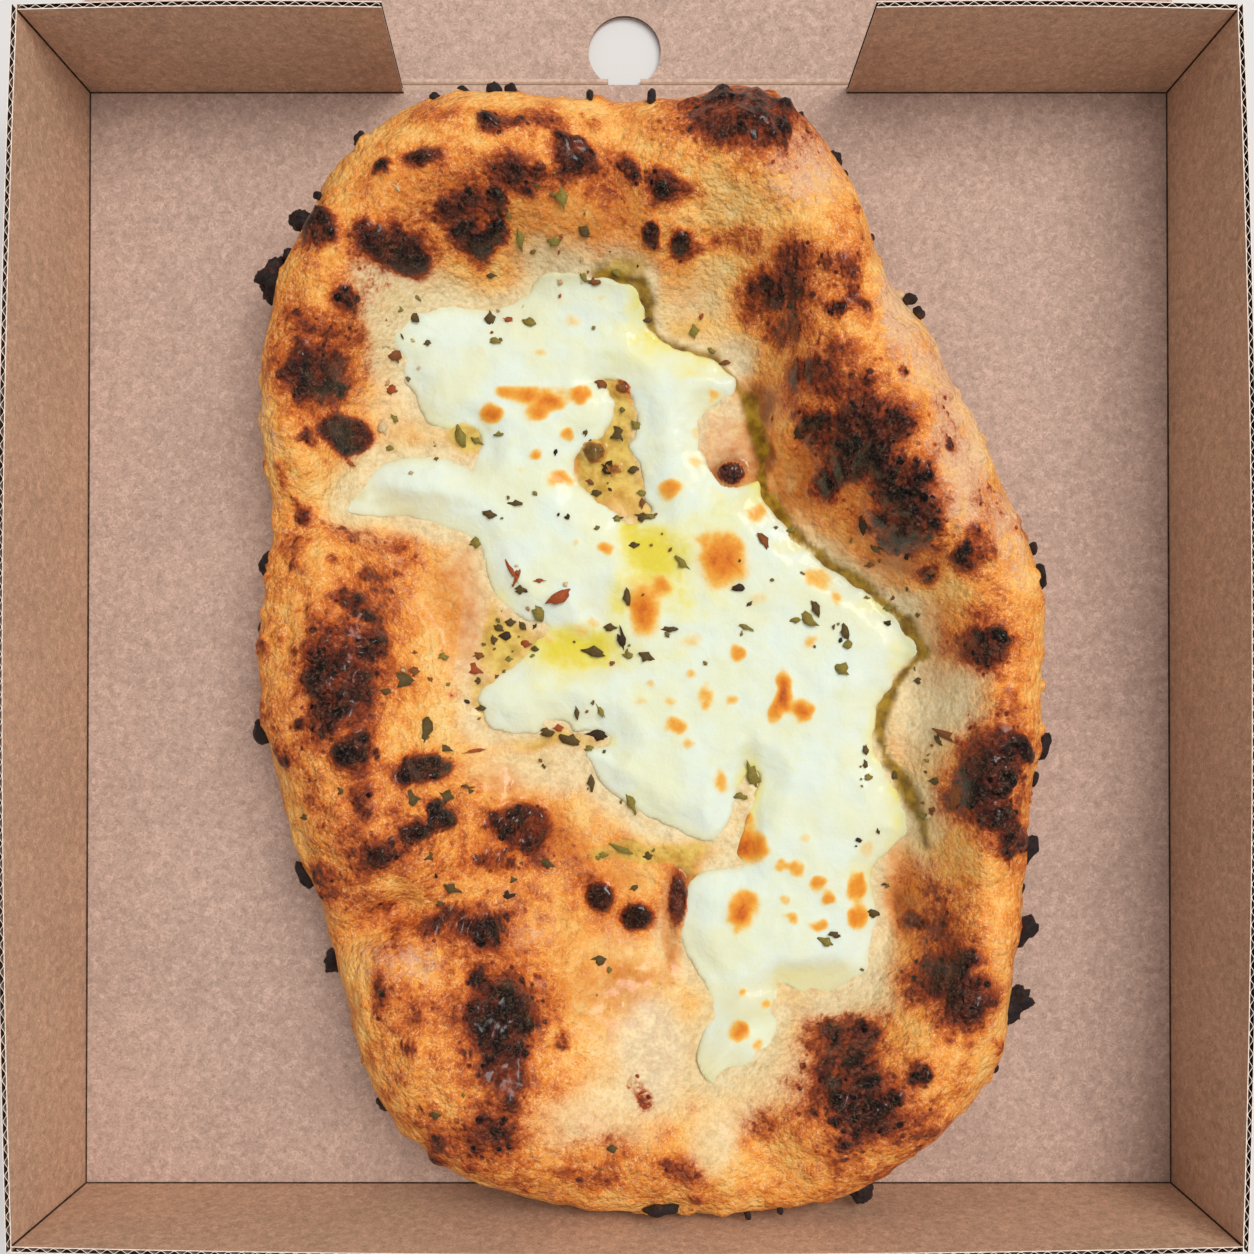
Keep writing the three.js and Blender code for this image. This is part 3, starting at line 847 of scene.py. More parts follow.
CHAR_SPOTS = Spots((
    (762, 1140, 8, 14, .3), (488, 120, 11, 9, 1), (504, 126, 22, 14, .6), (424, 158, 12, 8, .95),
    (386, 168, 5, 7, .9), (572, 150, 20, 23, .8), (520, 176, 32, 15, .7), (506, 122, 24, 13, .6),
    (460, 220, 25, 19, .8), (500, 202, 8, 8, .95), (499, 230, 10, 9, .95), (483, 248, 10, 9, .95),
    (396, 250, 32, 20, .95), (366, 228, 6, 6, .9), (320, 230, 18, 21, 1), (312, 374, 28, 26, .9),
    (348, 298, 12, 12, .5), (330, 326, 22, 13, .45), (350, 436, 20, 19, .72), (300, 436, 8, 8, .5),
    (276, 476, 8, 14, .5), (308, 518, 8, 8, .7), (366, 530, 12, 8, .7), (394, 542, 24, 10, .75),
    (392, 570, 28, 10, .7), (404, 592, 14, 9, .5), (348, 602, 18, 14, .6), (384, 612, 12, 14, .5),
    (342, 650, 42, 38, .55), (336, 692, 36, 34, .85), (320, 684, 14, 14, 1), (368, 651, 12, 10, .9),
    (352, 751, 20, 20, .85), (286, 759, 8, 12, .45), (426, 769, 25, 13, .85), (414, 833, 14, 11, .8),
    (444, 819, 16, 11, .85), (362, 812, 13, 22, .6), (380, 857, 18, 11, .65), (378, 906, 22, 13, .55),
    (320, 883, 20, 18, .5), (524, 827, 30, 25, 1), (486, 863, 15, 12, .8), (560, 850, 32, 18, .55),
    (600, 897, 14, 14, .98), (636, 917, 15, 14, .98), (676, 893, 12, 32, .8), (486, 929, 13, 12, .95),
    (482, 932, 36, 22, .6), (500, 1015, 40, 38, .85), (508, 1075, 28, 22, .72), (488, 1135, 26, 26, .62),
    (376, 999, 9, 26, .55), (564, 1045, 8, 8, .5), (592, 1180, 22, 12, .4), (440, 1151, 16, 16, .5),
    (987, 643, 26, 19, .85), (1000, 759, 30, 24, .82), (991, 799, 30, 28, .85), (1013, 839, 16, 20, .8),
    (915, 883, 18, 15, .62), (911, 919, 12, 12, .8), (969, 957, 8, 8, .8), (951, 983, 30, 26, .85),
    (971, 1011, 22, 18, .85), (918, 905, 30, 36, .45), (846, 1084, 44, 52, .78), (867, 1112, 30, 28, 1),
    (852, 1046, 22, 17, .8), (835, 1089, 9, 9, 1), (925, 1075, 9, 9, .75), (675, 1172, 22, 12, .45),
    (637, 1083, 8, 10, .4), (646, 1094, 9, 12, .45), (735, 112, 56, 34, .72), (719, 98, 14, 8, 1),
    (757, 120, 12, 10, 1), (713, 126, 8, 8, .9), (771, 136, 9, 8, .9), (783, 112, 9, 9, .9),
    (751, 96, 10, 7, .9), (665, 186, 22, 14, .75), (681, 246, 12, 10, .7), (626, 170, 12, 16, .6),
    (733, 240, 22, 9, .5), (791, 258, 20, 18, .78), (768, 296, 26, 20, .8), (791, 328, 14, 12, .6),
    (812, 370, 20, 18, .72), (845, 384, 18, 15, .62), (866, 436, 34, 28, .9), (871, 456, 12, 12, 1),
    (843, 476, 16, 14, .85), (819, 488, 16, 12, .78), (905, 492, 28, 30, .9), (920, 526, 28, 26, .75),
    (845, 268, 14, 14, .75), (857, 296, 14, 12, .65), (841, 306, 7, 7, .8), (969, 558, 12, 12, .8),
    (988, 556, 14, 12, .62), (981, 534, 8, 8, .6), (927, 580, 12, 10, .72), (943, 412, 8, 14, .3),
    (959, 444, 8, 14, .3), (1023, 532, 7, 12, .4), (864, 410, 22, 16, .5), (840, 440, 26, 30, .45),
    (430, 118, 26, 10, .3), (545, 118, 20, 10, .35), (300, 330, 18, 26, .35), (1010, 700, 14, 24, .35),
    (600, 1150, 40, 16, .3), (920, 1130, 26, 24, .4), (880, 1170, 30, 14, .4), (800, 428, 12, 20, .6),
    (845, 345, 16, 20, .15), (672, 910, 10, 26, .9), (884, 420, 20, 16, .5), (430, 930, 50, 14, .35),
    (400, 990, 22, 40, .25), (938, 965, 30, 40, .3),
))
DARK_DOMES = Spots((
    (488, 120, 10, 9, 1), (424, 158, 11, 8, 1), (500, 202, 8, 8, 1), (499, 230, 9, 9, 1),
    (483, 248, 10, 9, 1), (320, 230, 17, 20, 1), (396, 252, 26, 16, .8), (366, 227, 6, 6, 1),
    (350, 436, 20, 19, 1), (600, 897, 14, 14, 1), (636, 917, 15, 14, 1), (486, 929, 13, 12, 1),
    (524, 825, 26, 22, .8), (835, 1089, 9, 9, 1), (500, 1015, 30, 30, .8), (719, 98, 13, 9, 1),
    (757, 120, 12, 10, 1), (771, 136, 8, 8, 1), (783, 112, 8, 8, 1), (871, 456, 12, 12, .8),
    (841, 306, 7, 7, 1), (651, 236, 9, 12, 1), (681, 246, 9, 8, 1), (925, 1073, 8, 8, 1),
    (312, 374, 22, 20, .7), (426, 769, 22, 12, .8), (444, 819, 14, 10, .8), (414, 833, 12, 9, .8),
    (992, 640, 16, 12, .7), (951, 983, 14, 12, .8), (971, 1011, 12, 10, .8), (1000, 780, 16, 14, .7),
    (867, 1115, 18, 16, .8), (380, 858, 13, 9, .9), (731, 474, 15, 12, 1), (576, 152, 18, 18, .7),
    (594, 452, 12, 11, 1), (622, 388, 9, 8, .8), (614, 470, 9, 8, .7), (678, 900, 9, 26, .9),
    (386, 168, 5, 7, 1), (306, 436, 5, 5, .8), (348, 298, 9, 9, .6), (320, 684, 12, 12, .9),
    (352, 751, 14, 14, .7), (911, 919, 9, 9, .8), (969, 957, 6, 6, .8), (564, 1045, 5, 5, .7),
    (436, 806, 8, 6, .7), (380, 640, 5, 5, .8), (364, 676, 6, 5, .8), (540, 170, 5, 5, .8),
    (700, 250, 5, 5, .6), (812, 440, 6, 6, .8), (880, 470, 9, 8, .8), (905, 505, 8, 9, .8),
), softness=0.55)
TOASTED_SPOTS = Spots((
    (760, 1130, 18, 30, .8), (462, 160, 28, 22, 1), (418, 163, 26, 20, .8), (462, 120, 22, 14, .6),
    (990, 515, 18, 28, .8), (642, 1089, 14, 20, .7), (594, 472, 14, 18, .7), (374, 952, 22, 22, .7),
    (286, 558, 13, 24, .7), (770, 160, 44, 16, .5), (450, 190, 74, 40, .8), (500, 218, 48, 34, .75),
    (625, 190, 46, 40, .6), (576, 150, 36, 30, .5), (335, 340, 34, 60, .6), (300, 400, 26, 50, .5),
    (375, 575, 60, 56, .55), (345, 690, 60, 80, .75), (415, 825, 84, 50, .7), (380, 885, 70, 46, .55),
    (495, 1015, 70, 90, .7), (450, 940, 70, 30, .6), (480, 1130, 70, 50, .6), (610, 1185, 120, 26, .7),
    (400, 1060, 40, 90, .4), (846, 1090, 56, 64, .6), (930, 1085, 30, 44, .6), (955, 965, 44, 70, .6),
    (1000, 800, 36, 70, .6), (988, 640, 36, 40, .6), (1000, 565, 22, 60, .75), (830, 360, 56, 100, .7),
    (890, 490, 56, 74, .8), (900, 565, 40, 24, .35), (790, 290, 40, 36, .6), (880, 390, 30, 34, .8),
    (683, 1112, 15, 7, .7), (668, 1125, 10, 8, .7), (650, 244, 50, 20, .5), (735, 110, 80, 44, .7),
    # The row at (266, 640) darkens the bread's left outer side: partly toasting, partly painted shade.
    (266, 640, 14, 90, .7), (560, 850, 60, 26, .5), (620, 905, 60, 30, .5), (850, 270, 24, 34, .4),
    (300, 760, 24, 50, .5), (1020, 900, 16, 90, .4), (700, 1190, 60, 20, .4), (290, 560, 16, 60, .5),
), softness=1.8)
GOLDEN_SPOTS = Spots((
    (944, 868, 32, 26, .9), (904, 1040, 26, 26, .8), (946, 908, 22, 18, .5), (330, 294, 20, 20, .7),
    (812, 1038, 16, 26, .5), (952, 1042, 22, 22, .6), (990, 866, 18, 22, .5), (464, 256, 16, 12, .6),
    (902, 560, 26, 18, .7), (726, 1172, 44, 18, .7), (990, 690, 14, 20, .6), (700, 200, 60, 40, .8),
    # The row at (400, 965) lightens the big bubble's top: partly lighter bake, partly painted highlight.
    (560, 215, 34, 22, .4), (420, 130, 44, 22, .6), (400, 965, 50, 26, .7), (600, 985, 60, 50, .8),
    (335, 560, 30, 24, .4), (450, 600, 34, 60, .5), (790, 1125, 26, 44, .45), (285, 610, 14, 60, .3),
    (480, 760, 60, 18, 1), (650, 1050, 50, 60, .9), (395, 430, 30, 60, .8), (810, 200, 36, 50, .5),
    (700, 290, 40, 30, .6), (850, 640, 30, 40, .8), (915, 700, 30, 60, .8), (340, 500, 40, 12, .5),
    (300, 830, 18, 40, .3), (420, 960, 60, 14, .5), (560, 1120, 30, 60, .3), (900, 1000, 20, 24, .3),
    (690, 1150, 60, 16, .3), (600, 140, 20, 30, .35), (640, 130, 30, 30, .4), (1010, 600, 10, 30, .3),
    (870, 940, 14, 30, .4), (480, 960, 34, 18, .3), (720, 1100, 24, 40, .4), (380, 130, 18, 18, .5),
    (1012, 690, 12, 26, .7), (530, 250, 60, 14, .5), (850, 620, 40, 16, .5), (540, 940, 30, 30, .3),
), softness=1.5)
PALE_SPOTS = Spots((
    (715, 1150, 24, 26, .7), (405, 292, 34, 14, .9), (376, 330, 14, 44, .8), (915, 705, 28, 52, .9),
    (955, 702, 24, 28, .9), (735, 435, 28, 38, 1), (752, 800, 14, 64, 1), (600, 1118, 54, 26, .6),
    (395, 430, 20, 50, .6), (478, 640, 16, 64, .8), (760, 1055, 40, 40, .7), (652, 1052, 42, 42, .95),
    (725, 1110, 30, 30, .5), (800, 1000, 40, 20, .6), (560, 252, 40, 12, .7), (690, 310, 30, 16, .5),
    (470, 565, 20, 34, .6), (470, 640, 12, 40, .4), (550, 766, 64, 22, .9), (860, 575, 40, 14, .5),
    (925, 820, 12, 50, .5), (645, 1090, 50, 24, .5),
), softness=1.3)
FLOUR_SPOTS = Spots((
    (960, 420, 40, 110, .9), (905, 320, 26, 70, .8), (1010, 540, 22, 60, .7), (380, 120, 60, 16, .5),
    # The row at (400, 960) lightens the big bubble's top: partly flour, partly painted highlight.
    (290, 700, 16, 120, .35), (400, 960, 60, 24, .6), (1000, 1000, 20, 90, .4), (806, 170, 46, 50, .8),
    (650, 1050, 50, 60, .5), (360, 1100, 16, 60, .4), (560, 1195, 90, 12, .35), (270, 420, 10, 90, .4),
), softness=1.4)
OIL_SPOTS = Spots((
    (506, 642, 20, 26, .9), (690, 328, 22, 12, .7), (618, 272, 34, 8, .9), (462, 440, 16, 14, .95),
    (484, 700, 10, 26, .8), (494, 640, 12, 44, .8), (650, 850, 60, 10, .8), (520, 650, 40, 24, .7),
    (690, 860, 18, 20, .7), (475, 446, 26, 10, .8), (790, 990, 34, 10, .4), (560, 742, 50, 8, .8),
    (608, 450, 24, 60, .8), (545, 830, 50, 26, .4), (640, 850, 56, 12, .8), (480, 860, 30, 30, .3),
    (610, 900, 50, 40, .45), (790, 440, 30, 60, .5), (840, 520, 30, 30, .35), (420, 440, 40, 16, .4),
    (500, 760, 60, 30, .25), (700, 1030, 20, 50, .3), (606, 440, 30, 74, 1), (750, 430, 14, 40, .5),
    (640, 500, 20, 30, .8), (690, 880, 10, 40, .5),
), softness=1.1)
GLAZE_SPOTS = Spots((
    (676, 945, 10, 32, .7), (684, 872, 18, 14, .8), (625, 985, 36, 20, .5), (902, 912, 15, 26, .8),
    (506, 782, 22, 12, .4), (902, 560, 24, 18, .5), (760, 436, 13, 46, 1), (745, 395, 16, 18, .8),
    # The row at (800, 482) darkens the right rim's steep inner slope: partly oil, partly painted shade.
    (800, 482, 34, 46, .75), (770, 520, 16, 24, .6), (524, 827, 34, 28, .95), (560, 846, 34, 16, .6),
    (682, 897, 14, 34, .75), (452, 600, 24, 44, .6), (900, 560, 30, 26, .55), (620, 222, 40, 22, .6),
    (728, 472, 26, 24, .8), (722, 436, 18, 16, .4), (600, 985, 50, 34, .35), (560, 216, 40, 20, .45),
    (690, 280, 26, 16, .4), (470, 640, 10, 40, .4), (868, 520, 24, 34, .5), (940, 640, 18, 50, .35),
    (905, 880, 14, 40, .5), (620, 880, 26, 14, .5), (594, 452, 22, 20, .8), (622, 386, 18, 14, .7),
    (605, 500, 24, 14, .4), (420, 190, 40, 26, .35),
), softness=1.4)
OIL_LINE = (
    (600, 272), (640, 283), (647, 305), (650, 328), (662, 343), (690, 354), (715, 362), (733, 378),
    (747, 400), (757, 430), (764, 452), (760, 478), (768, 500), (784, 521), (800, 540), (820, 556),
    (845, 574), (868, 590), (890, 607), (905, 622), (916, 640), (921, 655), (905, 672), (890, 692),
    (881, 715), (880, 740), (889, 762), (904, 783), (916, 803), (925, 822), (926, 846),
)
CHEESE_SHORE = (
    (422, 309), (452, 305), (473, 308), (491, 311), (514, 303), (526, 293), (538, 281), (550, 273),
    (575, 272), (616, 281), (632, 283), (639, 291), (645, 311), (649, 328), (661, 342), (682, 350),
    (714, 360), (725, 370), (737, 380), (733, 396), (718, 404), (705, 420), (701, 442), (707, 464),
    (720, 480), (738, 487), (757, 482), (761, 497), (771, 511), (784, 525), (796, 540), (814, 556),
    (831, 569), (849, 581), (863, 589), (876, 599), (888, 611), (900, 622), (908, 636), (918, 650),
    (914, 660), (904, 666), (894, 681), (884, 695), (877, 709), (874, 730), (873, 752), (882, 764),
    (892, 781), (900, 795), (906, 815), (908, 832), (894, 845), (874, 867), (872, 893), (879, 914),
    (874, 947), (870, 960), (864, 979), (842, 990), (820, 994), (797, 994), (781, 984), (777, 1008),
    (781, 1018), (775, 1040), (764, 1055), (746, 1068), (725, 1081), (707, 1081), (699, 1068),
    (697, 1055), (703, 1036), (707, 1014), (710, 997), (703, 982), (697, 969), (688, 958), (681, 940),
    (680, 921), (684, 899), (690, 882), (703, 871), (725, 867), (742, 864), (738, 848), (744, 826),
    (752, 800), (760, 778), (752, 770), (740, 785), (734, 807), (722, 832), (705, 840), (685, 834),
    (665, 826), (644, 816), (624, 801), (603, 785), (595, 771), (587, 752), (607, 746), (609, 736),
    (589, 732), (575, 733), (569, 724), (554, 722), (542, 730), (532, 734), (507, 732), (489, 724),
    (481, 707), (479, 695), (487, 681), (501, 671), (514, 666), (524, 655), (536, 640), (548, 628),
    (538, 624), (522, 620), (507, 609), (497, 599), (489, 581), (485, 562), (477, 544), (463, 536),
    (444, 530), (422, 521), (391, 517), (361, 515), (348, 511), (350, 505), (371, 474), (383, 464),
    (408, 456), (432, 456), (452, 460), (469, 466), (477, 454), (481, 444), (473, 430), (456, 430),
    (440, 428), (426, 421), (418, 405), (414, 393), (404, 381), (401, 364), (391, 338), (397, 328),
    (412, 319),
)
HERB_HOLLOW = (
    (600, 380), (611, 393), (614, 413), (608, 428), (598, 442), (578, 454), (573, 470), (580, 485),
    (596, 499), (614, 511), (627, 523), (640, 519), (652, 511), (644, 497), (639, 464), (629, 448),
    (637, 425), (632, 401), (616, 382),
)
TOAST_SPOTS = Spots((
    (490, 413, 11, 9, .75), (503, 391, 9, 6, .5), (522, 395, 12, 9, .5), (550, 401, 14, 7, .7),
    (536, 412, 12, 8, .6), (543, 392, 36, 8, .35), (581, 395, 10, 9, .65), (566, 432, 7, 6, .5),
    (534, 452, 6, 6, .5), (561, 476, 14, 9, .55), (572, 319, 10, 9, .3), (540, 350, 7, 5, .3),
    (605, 548, 7, 6, .35), (577, 542, 4, 4, .3), (714, 389, 8, 7, .35), (695, 430, 6, 6, .3),
    (672, 488, 11, 9, .65), (696, 460, 8, 7, .3), (722, 560, 20, 22, .68), (759, 511, 10, 9, .5),
    (644, 613, 14, 21, .72), (662, 583, 8, 8, .45), (606, 549, 6, 6, .3), (739, 652, 8, 8, .6),
    (691, 675, 6, 5, .35), (650, 683, 6, 5, .35), (707, 697, 8, 12, .45), (732, 700, 7, 6, .4),
    (677, 726, 10, 8, .5), (689, 742, 7, 5, .35), (721, 783, 8, 14, .4), (594, 622, 6, 5, .35),
    (546, 636, 6, 5, .3), (820, 577, 14, 12, .45), (838, 597, 6, 9, .4), (784, 692, 9, 18, .88),
    (776, 712, 6, 10, .6), (804, 709, 10, 10, .72), (810, 640, 7, 7, .35), (744, 817, 9, 9, .6),
    (749, 848, 16, 18, .78), (742, 910, 15, 18, .7), (738, 918, 8, 9, .4), (796, 871, 9, 7, .6),
    (781, 867, 7, 6, .45), (820, 885, 8, 7, .55), (831, 900, 8, 7, .55), (792, 919, 7, 6, .5),
    (784, 900, 5, 4, .4), (820, 926, 8, 7, .55), (859, 886, 9, 14, .62), (859, 919, 9, 13, .6),
    (738, 1027, 9, 8, .68), (766, 1005, 5, 4, .45), (743, 994, 5, 4, .4), (755, 1038, 6, 5, .4),
    (716, 1074, 5, 4, .4), (700, 540, 9, 5, .3), (640, 700, 8, 6, .25), (520, 470, 8, 6, .2),
    (760, 600, 10, 8, .25), (690, 640, 12, 8, .25), (870, 850, 8, 8, .3), (806, 840, 7, 6, .25),
    (645, 590, 26, 20, .25), (720, 560, 32, 34, .22), (560, 300, 6, 5, .2), (480, 350, 6, 5, .2),
    (600, 300, 5, 4, .2), (440, 370, 5, 5, .15), (580, 630, 9, 7, .3), (672, 700, 7, 6, .3),
), height=17.0, softness=1.6)
YELLOW_SPOTS = Spots((
    (720, 508, 26, 24, .5), (690, 348, 24, 10, .5), (655, 562, 28, 32, 1), (645, 545, 20, 16, .8),
    (585, 650, 46, 22, .85), (565, 645, 34, 20, .8), (628, 528, 14, 16, .7), (690, 600, 34, 26, .55),
    (700, 540, 30, 24, .4), (620, 600, 16, 24, .7), (750, 790, 12, 50, .6), (700, 420, 18, 26, .2),
    (470, 430, 22, 12, .5), (545, 685, 50, 14, .3), (636, 300, 12, 30, .55), (650, 340, 16, 18, .55),
    (700, 368, 34, 10, .5), (757, 480, 14, 30, .5), (795, 545, 34, 10, .45), (880, 606, 26, 10, .5),
    (902, 655, 18, 14, .5), (874, 740, 10, 40, .4), (898, 810, 12, 40, .5), (670, 660, 60, 12, .3),
    (500, 600, 14, 18, .4), (600, 742, 26, 8, .4), (622, 350, 26, 30, .3), (560, 330, 60, 26, .22),
    (800, 975, 40, 14, .3), (690, 872, 14, 12, .3), (640, 690, 40, 12, .22), (860, 870, 20, 30, .3),
    (800, 600, 50, 20, .15), (440, 400, 16, 30, .2),
), height=16.0, softness=2.0)
THIN_SPOTS = Spots((
    (575, 655, 46, 24, .9), (655, 560, 28, 26, .6), (812, 984, 44, 16, 1), (370, 495, 24, 12, .5),
    (722, 1056, 30, 26, .7), (745, 1000, 40, 16, .6), (750, 800, 10, 50, .9), (600, 600, 20, 20, .4),
    (420, 505, 40, 10, .3), (700, 1000, 10, 26, .3), (715, 400, 20, 12, .4), (752, 500, 14, 14, .4),
    (830, 975, 30, 16, .6),
), height=16.0, softness=1.3)


def closed_curve(points: Array, steps: int = 4) -> Array:
    """A smooth closed line through points.

    Args:
        points: the points, one row each.
        steps: how many short lines stand for each stretch.

    Returns:
        The line's points.
    """
    a, b, c, d = (np.roll(points, shift, axis=0) for shift in (1, 0, -1, -2))
    rows = []
    for t in np.arange(steps) / steps:
        rows.append(b + 0.5 * t * (c - a + t * (2 * a - 5 * b + 4 * c - d + t * (3 * (b - c) + d - a))))
    return np.stack(rows, axis=1).reshape(-1, 2)


@dataclass
class Shore:
    """Signed distance to closed outlines, kept on a fine grid: negative inside."""

    outlines: tuple[Array, ...]
    spacing: float = 0.8
    margin: float = 24.0
    low: Array = field(init=False)
    values: Array = field(init=False)

    def __post_init__(self) -> None:
        """Measure the distances."""
        every = np.concatenate(self.outlines)
        self.low = every.min(0) - self.margin
        count = np.ceil((every.max(0) + self.margin - self.low) / self.spacing).astype(int) + 1
        gx, gy = (self.low[i] + self.spacing * np.arange(count[i]) for i in (0, 1))
        x, y = np.meshgrid(gx, gy, indexing="ij")
        near = np.full(x.shape, 1e9)
        inside = np.zeros(x.shape, bool)
        for outline in self.outlines:
            for (x0, y0), (x1, y1) in zip(outline, np.roll(outline, -1, axis=0)):
                dx, dy = x1 - x0, y1 - y0
                t = np.clip(((x - x0) * dx + (y - y0) * dy) / (dx * dx + dy * dy + 1e-12), 0, 1)
                near = np.minimum(near, (x - x0 - t * dx) ** 2 + (y - y0 - t * dy) ** 2)
                if y0 != y1:
                    inside ^= ((y0 > y) != (y1 > y)) & (x < x0 + (y - y0) * dx / dy)
        self.values = np.where(inside, -1, 1) * np.sqrt(near)

    def at(self, x: Array, y: Array) -> Array:
        """Distance of points from the outlines, negative inside.

        Args:
            x, y: the points.

        Returns:
            The distance of each.
        """
        i = np.clip((np.asarray(x, float) - self.low[0]) / self.spacing, 0, self.values.shape[0] - 1.001)
        j = np.clip((np.asarray(y, float) - self.low[1]) / self.spacing, 0, self.values.shape[1] - 1.001)
        a, b = i.astype(int), j.astype(int)
        s, t = i - a, j - b
        v = self.values
        first = v[a, b] * (1 - t) + v[a, b + 1] * t
        return first * (1 - s) + (v[a + 1, b] * (1 - t) + v[a + 1, b + 1] * t) * s


@dataclass
class Swelling:
    """A bubble that lifts the crust, or a hollow."""

    x: float
    y: float
    rx: float
    ry: float
    turn: float
    rise: float


@dataclass
class Crease:
    """A fold between two bubbles."""

    start: tuple[float, float]
    end: tuple[float, float]
    width: float
    depth: float


def stroke_distance(row: Sequence[float], x: Array, y: Array) -> Array:
    """Distance to a stroke with a radius at both ends, negative inside it.

    Args:
        row: x0, y0, x1, y1, r0 and r1 in millimetres.
        x, y: the points.

    Returns:
        The distance of each point.
    """
    x0, y0, x1, y1, r0, r1 = row
    dx, dy = x1 - x0, y1 - y0
    along = np.clip(((x - x0) * dx + (y - y0) * dy) / (dx * dx + dy * dy), 0, 1)
    return np.hypot(x - x0 - along * dx, y - y0 - along * dy) - r0 - (r1 - r0) * along


@dataclass
class Bread:
    """The hand-stretched bread: a puffed rim round a flat basin, with bubbles, creases and char."""

    centre: tuple[float, float] = (6.5, -5.9)
    base: float = 1.8
    radii: tuple[float, ...] = (
        102.6, 102.4, 102.2, 101.9, 105.2, 111.8, 118.4, 138.6, 149.4, 145.5, 148.4, 154.6,
        154.4, 142.9, 131.4, 118.1, 106.6, 103, 102.9, 103.1, 103.4, 106.4, 110.6, 122.3,
        137.6, 144.7, 145.2, 145.2, 147, 148, 146, 138.8, 124.2, 111.7, 105.2, 103.1,
    )
    rim_widths: tuple[float, ...] = (36, 52, 66, 62, 50, 32, 52, 60, 84, 72, 48, 36)
    rim_crests: tuple[float, ...] = (31, 34, 34.5, 33, 33.5, 30, 32, 34, 32.5, 34, 34.5, 32)
    widest_level: float = 19.0
    basin_level: float = 11.0
    base_inset: float = 9.0
    crest_share: float = 0.4
    crest_most: float = 21.0
    crest_turn: float = math.radians(80)
    plain_bake: float = 0.33
    toasted_bake: float = 0.58
    golden_bake: float = 0.22
    halo_bake: float = 0.6
    halo_grow: float = 1.5
    char_bake: float = 0.82
    dome_bake: float = 0.86
    dough_bake: float = 0.12
    pale_reach: float = 7.0
    side_height: float = 6.0
    swellings: tuple[Swelling, ...] = (
        Swelling(-44, -108, 30, 36, 20, 5),
        Swelling(-58, -20, 22, 32, 0, 4),
        Swelling(-42, 112, 34, 24, 35, 3),
        Swelling(27, 124, 22, 18, 0, 4),
        Swelling(62, 50, 18, 44, 28, 4),
        Swelling(60, -112, 24, 26, 0, 4),
        Swelling(92, -42, 12, 30, 0, 2),
        Swelling(77, -26, 9, 14, 20, 4),
        Swelling(-10, -66, 18, 14, 0, 3),
        Swelling(6, -108, 16, 14, 0, -5),
        Swelling(66, -78, 12, 12, 0, -3),
    )
    creases: tuple[Crease, ...] = (
        Crease((-86, -86), (-58, -72), 5, 6),
        Crease((-58, -72), (-20, -80), 7, 5),
        Crease((-98, 28), (-66, 32), 8, 6),
        Crease((-1, 142), (-5, 106), 8, 3),
        Crease((36, -134), (24, -116), 8, 3),
        Crease((104, -62), (76, -70), 8, 3),
    )
    round_steps: int = 620
    rings: int = 150
    blisters: int = 1200
    seed: int = 5
    noise: Noise = field(init=False)

    def __post_init__(self) -> None:
        """Prepare the noise."""
        self.noise = Noise(self.seed)

    def polar(self, x: Array, y: Array) -> tuple[Array, Array]:
        """Say where points are in the bread's outline.

        Args:
            x, y: the points.

        Returns:
            Their angle in degrees about the centre, and their distance inside the outline.
        """
        dx, dy = x - self.centre[0], y - self.centre[1]
        degrees = np.degrees(np.arctan2(dy, dx)) % 360
        return degrees, round_spline(self.radii, degrees) - np.hypot(dx, dy)

    def crest_at(self, degrees: Array) -> Array:
        """How far inside the outline the rim's crest is."""
        return np.minimum(self.crest_most, self.crest_share * round_spline(self.rim_widths, degrees))

    def height(self, x: Array, y: Array) -> Array:
        """Height of the smooth crust above the bread's base.

        Args:
            x, y: points inside the outline.

        Returns:
            The height at each point.
        """
        degrees, inward = self.polar(x, y)
        inward = np.maximum(inward, 0)
        width = round_spline(self.rim_widths, degrees)
        crest = round_spline(self.rim_crests, degrees)
        at = self.crest_at(degrees)
        bumps = self._bumps(x, y)
        outer = self.widest_level + (crest + bumps - self.widest_level) * np.sqrt(
            np.clip(1 - (1 - np.minimum(inward / at, 1)) ** 2, 0, 1)
        )
        fall = smooth((inward - at) / (width - at))
        inner = crest + (self.basin_level - crest) * fall + bumps * (1 - 0.6 * fall)
        return np.where(inward < at, outer, inner)

    def _bumps(self, x: Array, y: Array) -> Array:
        """Add up the bubbles and the creases.

        Args:
            x, y: points inside the outline.

        Returns:
            How far each is lifted, or lowered where it is negative.
        """
        total = np.zeros(np.shape(x))
        for s in self.swellings:
            turn = math.radians(s.turn)
            dx, dy = x - s.x, y - s.y
            u = (dx * math.cos(turn) + dy * math.sin(turn)) / s.rx
            v = (dy * math.cos(turn) - dx * math.sin(turn)) / s.ry
            total = total + s.rise * np.exp(-1.5 * (u * u + v * v))
        for c in self.creases:
            row = (*c.start, *c.end, 0.0, 0.0)
            total = total - c.depth * np.exp(-((stroke_distance(row, x, y) / c.width) ** 2))
        return total

    def top(self, x: Array, y: Array) -> Array:
        """Height of the crust in the part's frame."""
        return self.base + self.height(x, y)

    def on_crust(self, px: Array, py: Array) -> tuple[Array, Array, Array]:
        """The point of the crust that a pixel of the picture shows.

        Args:
            px, py: pixels of the picture.

        Returns:
            x, y and z of the points.
        """
        z = np.full(np.shape(px), 30.0)
        for _ in range(5):
            x, y = VIEW.ground(px, py, z)
            z = self.top(x, y)
        return x, y, z

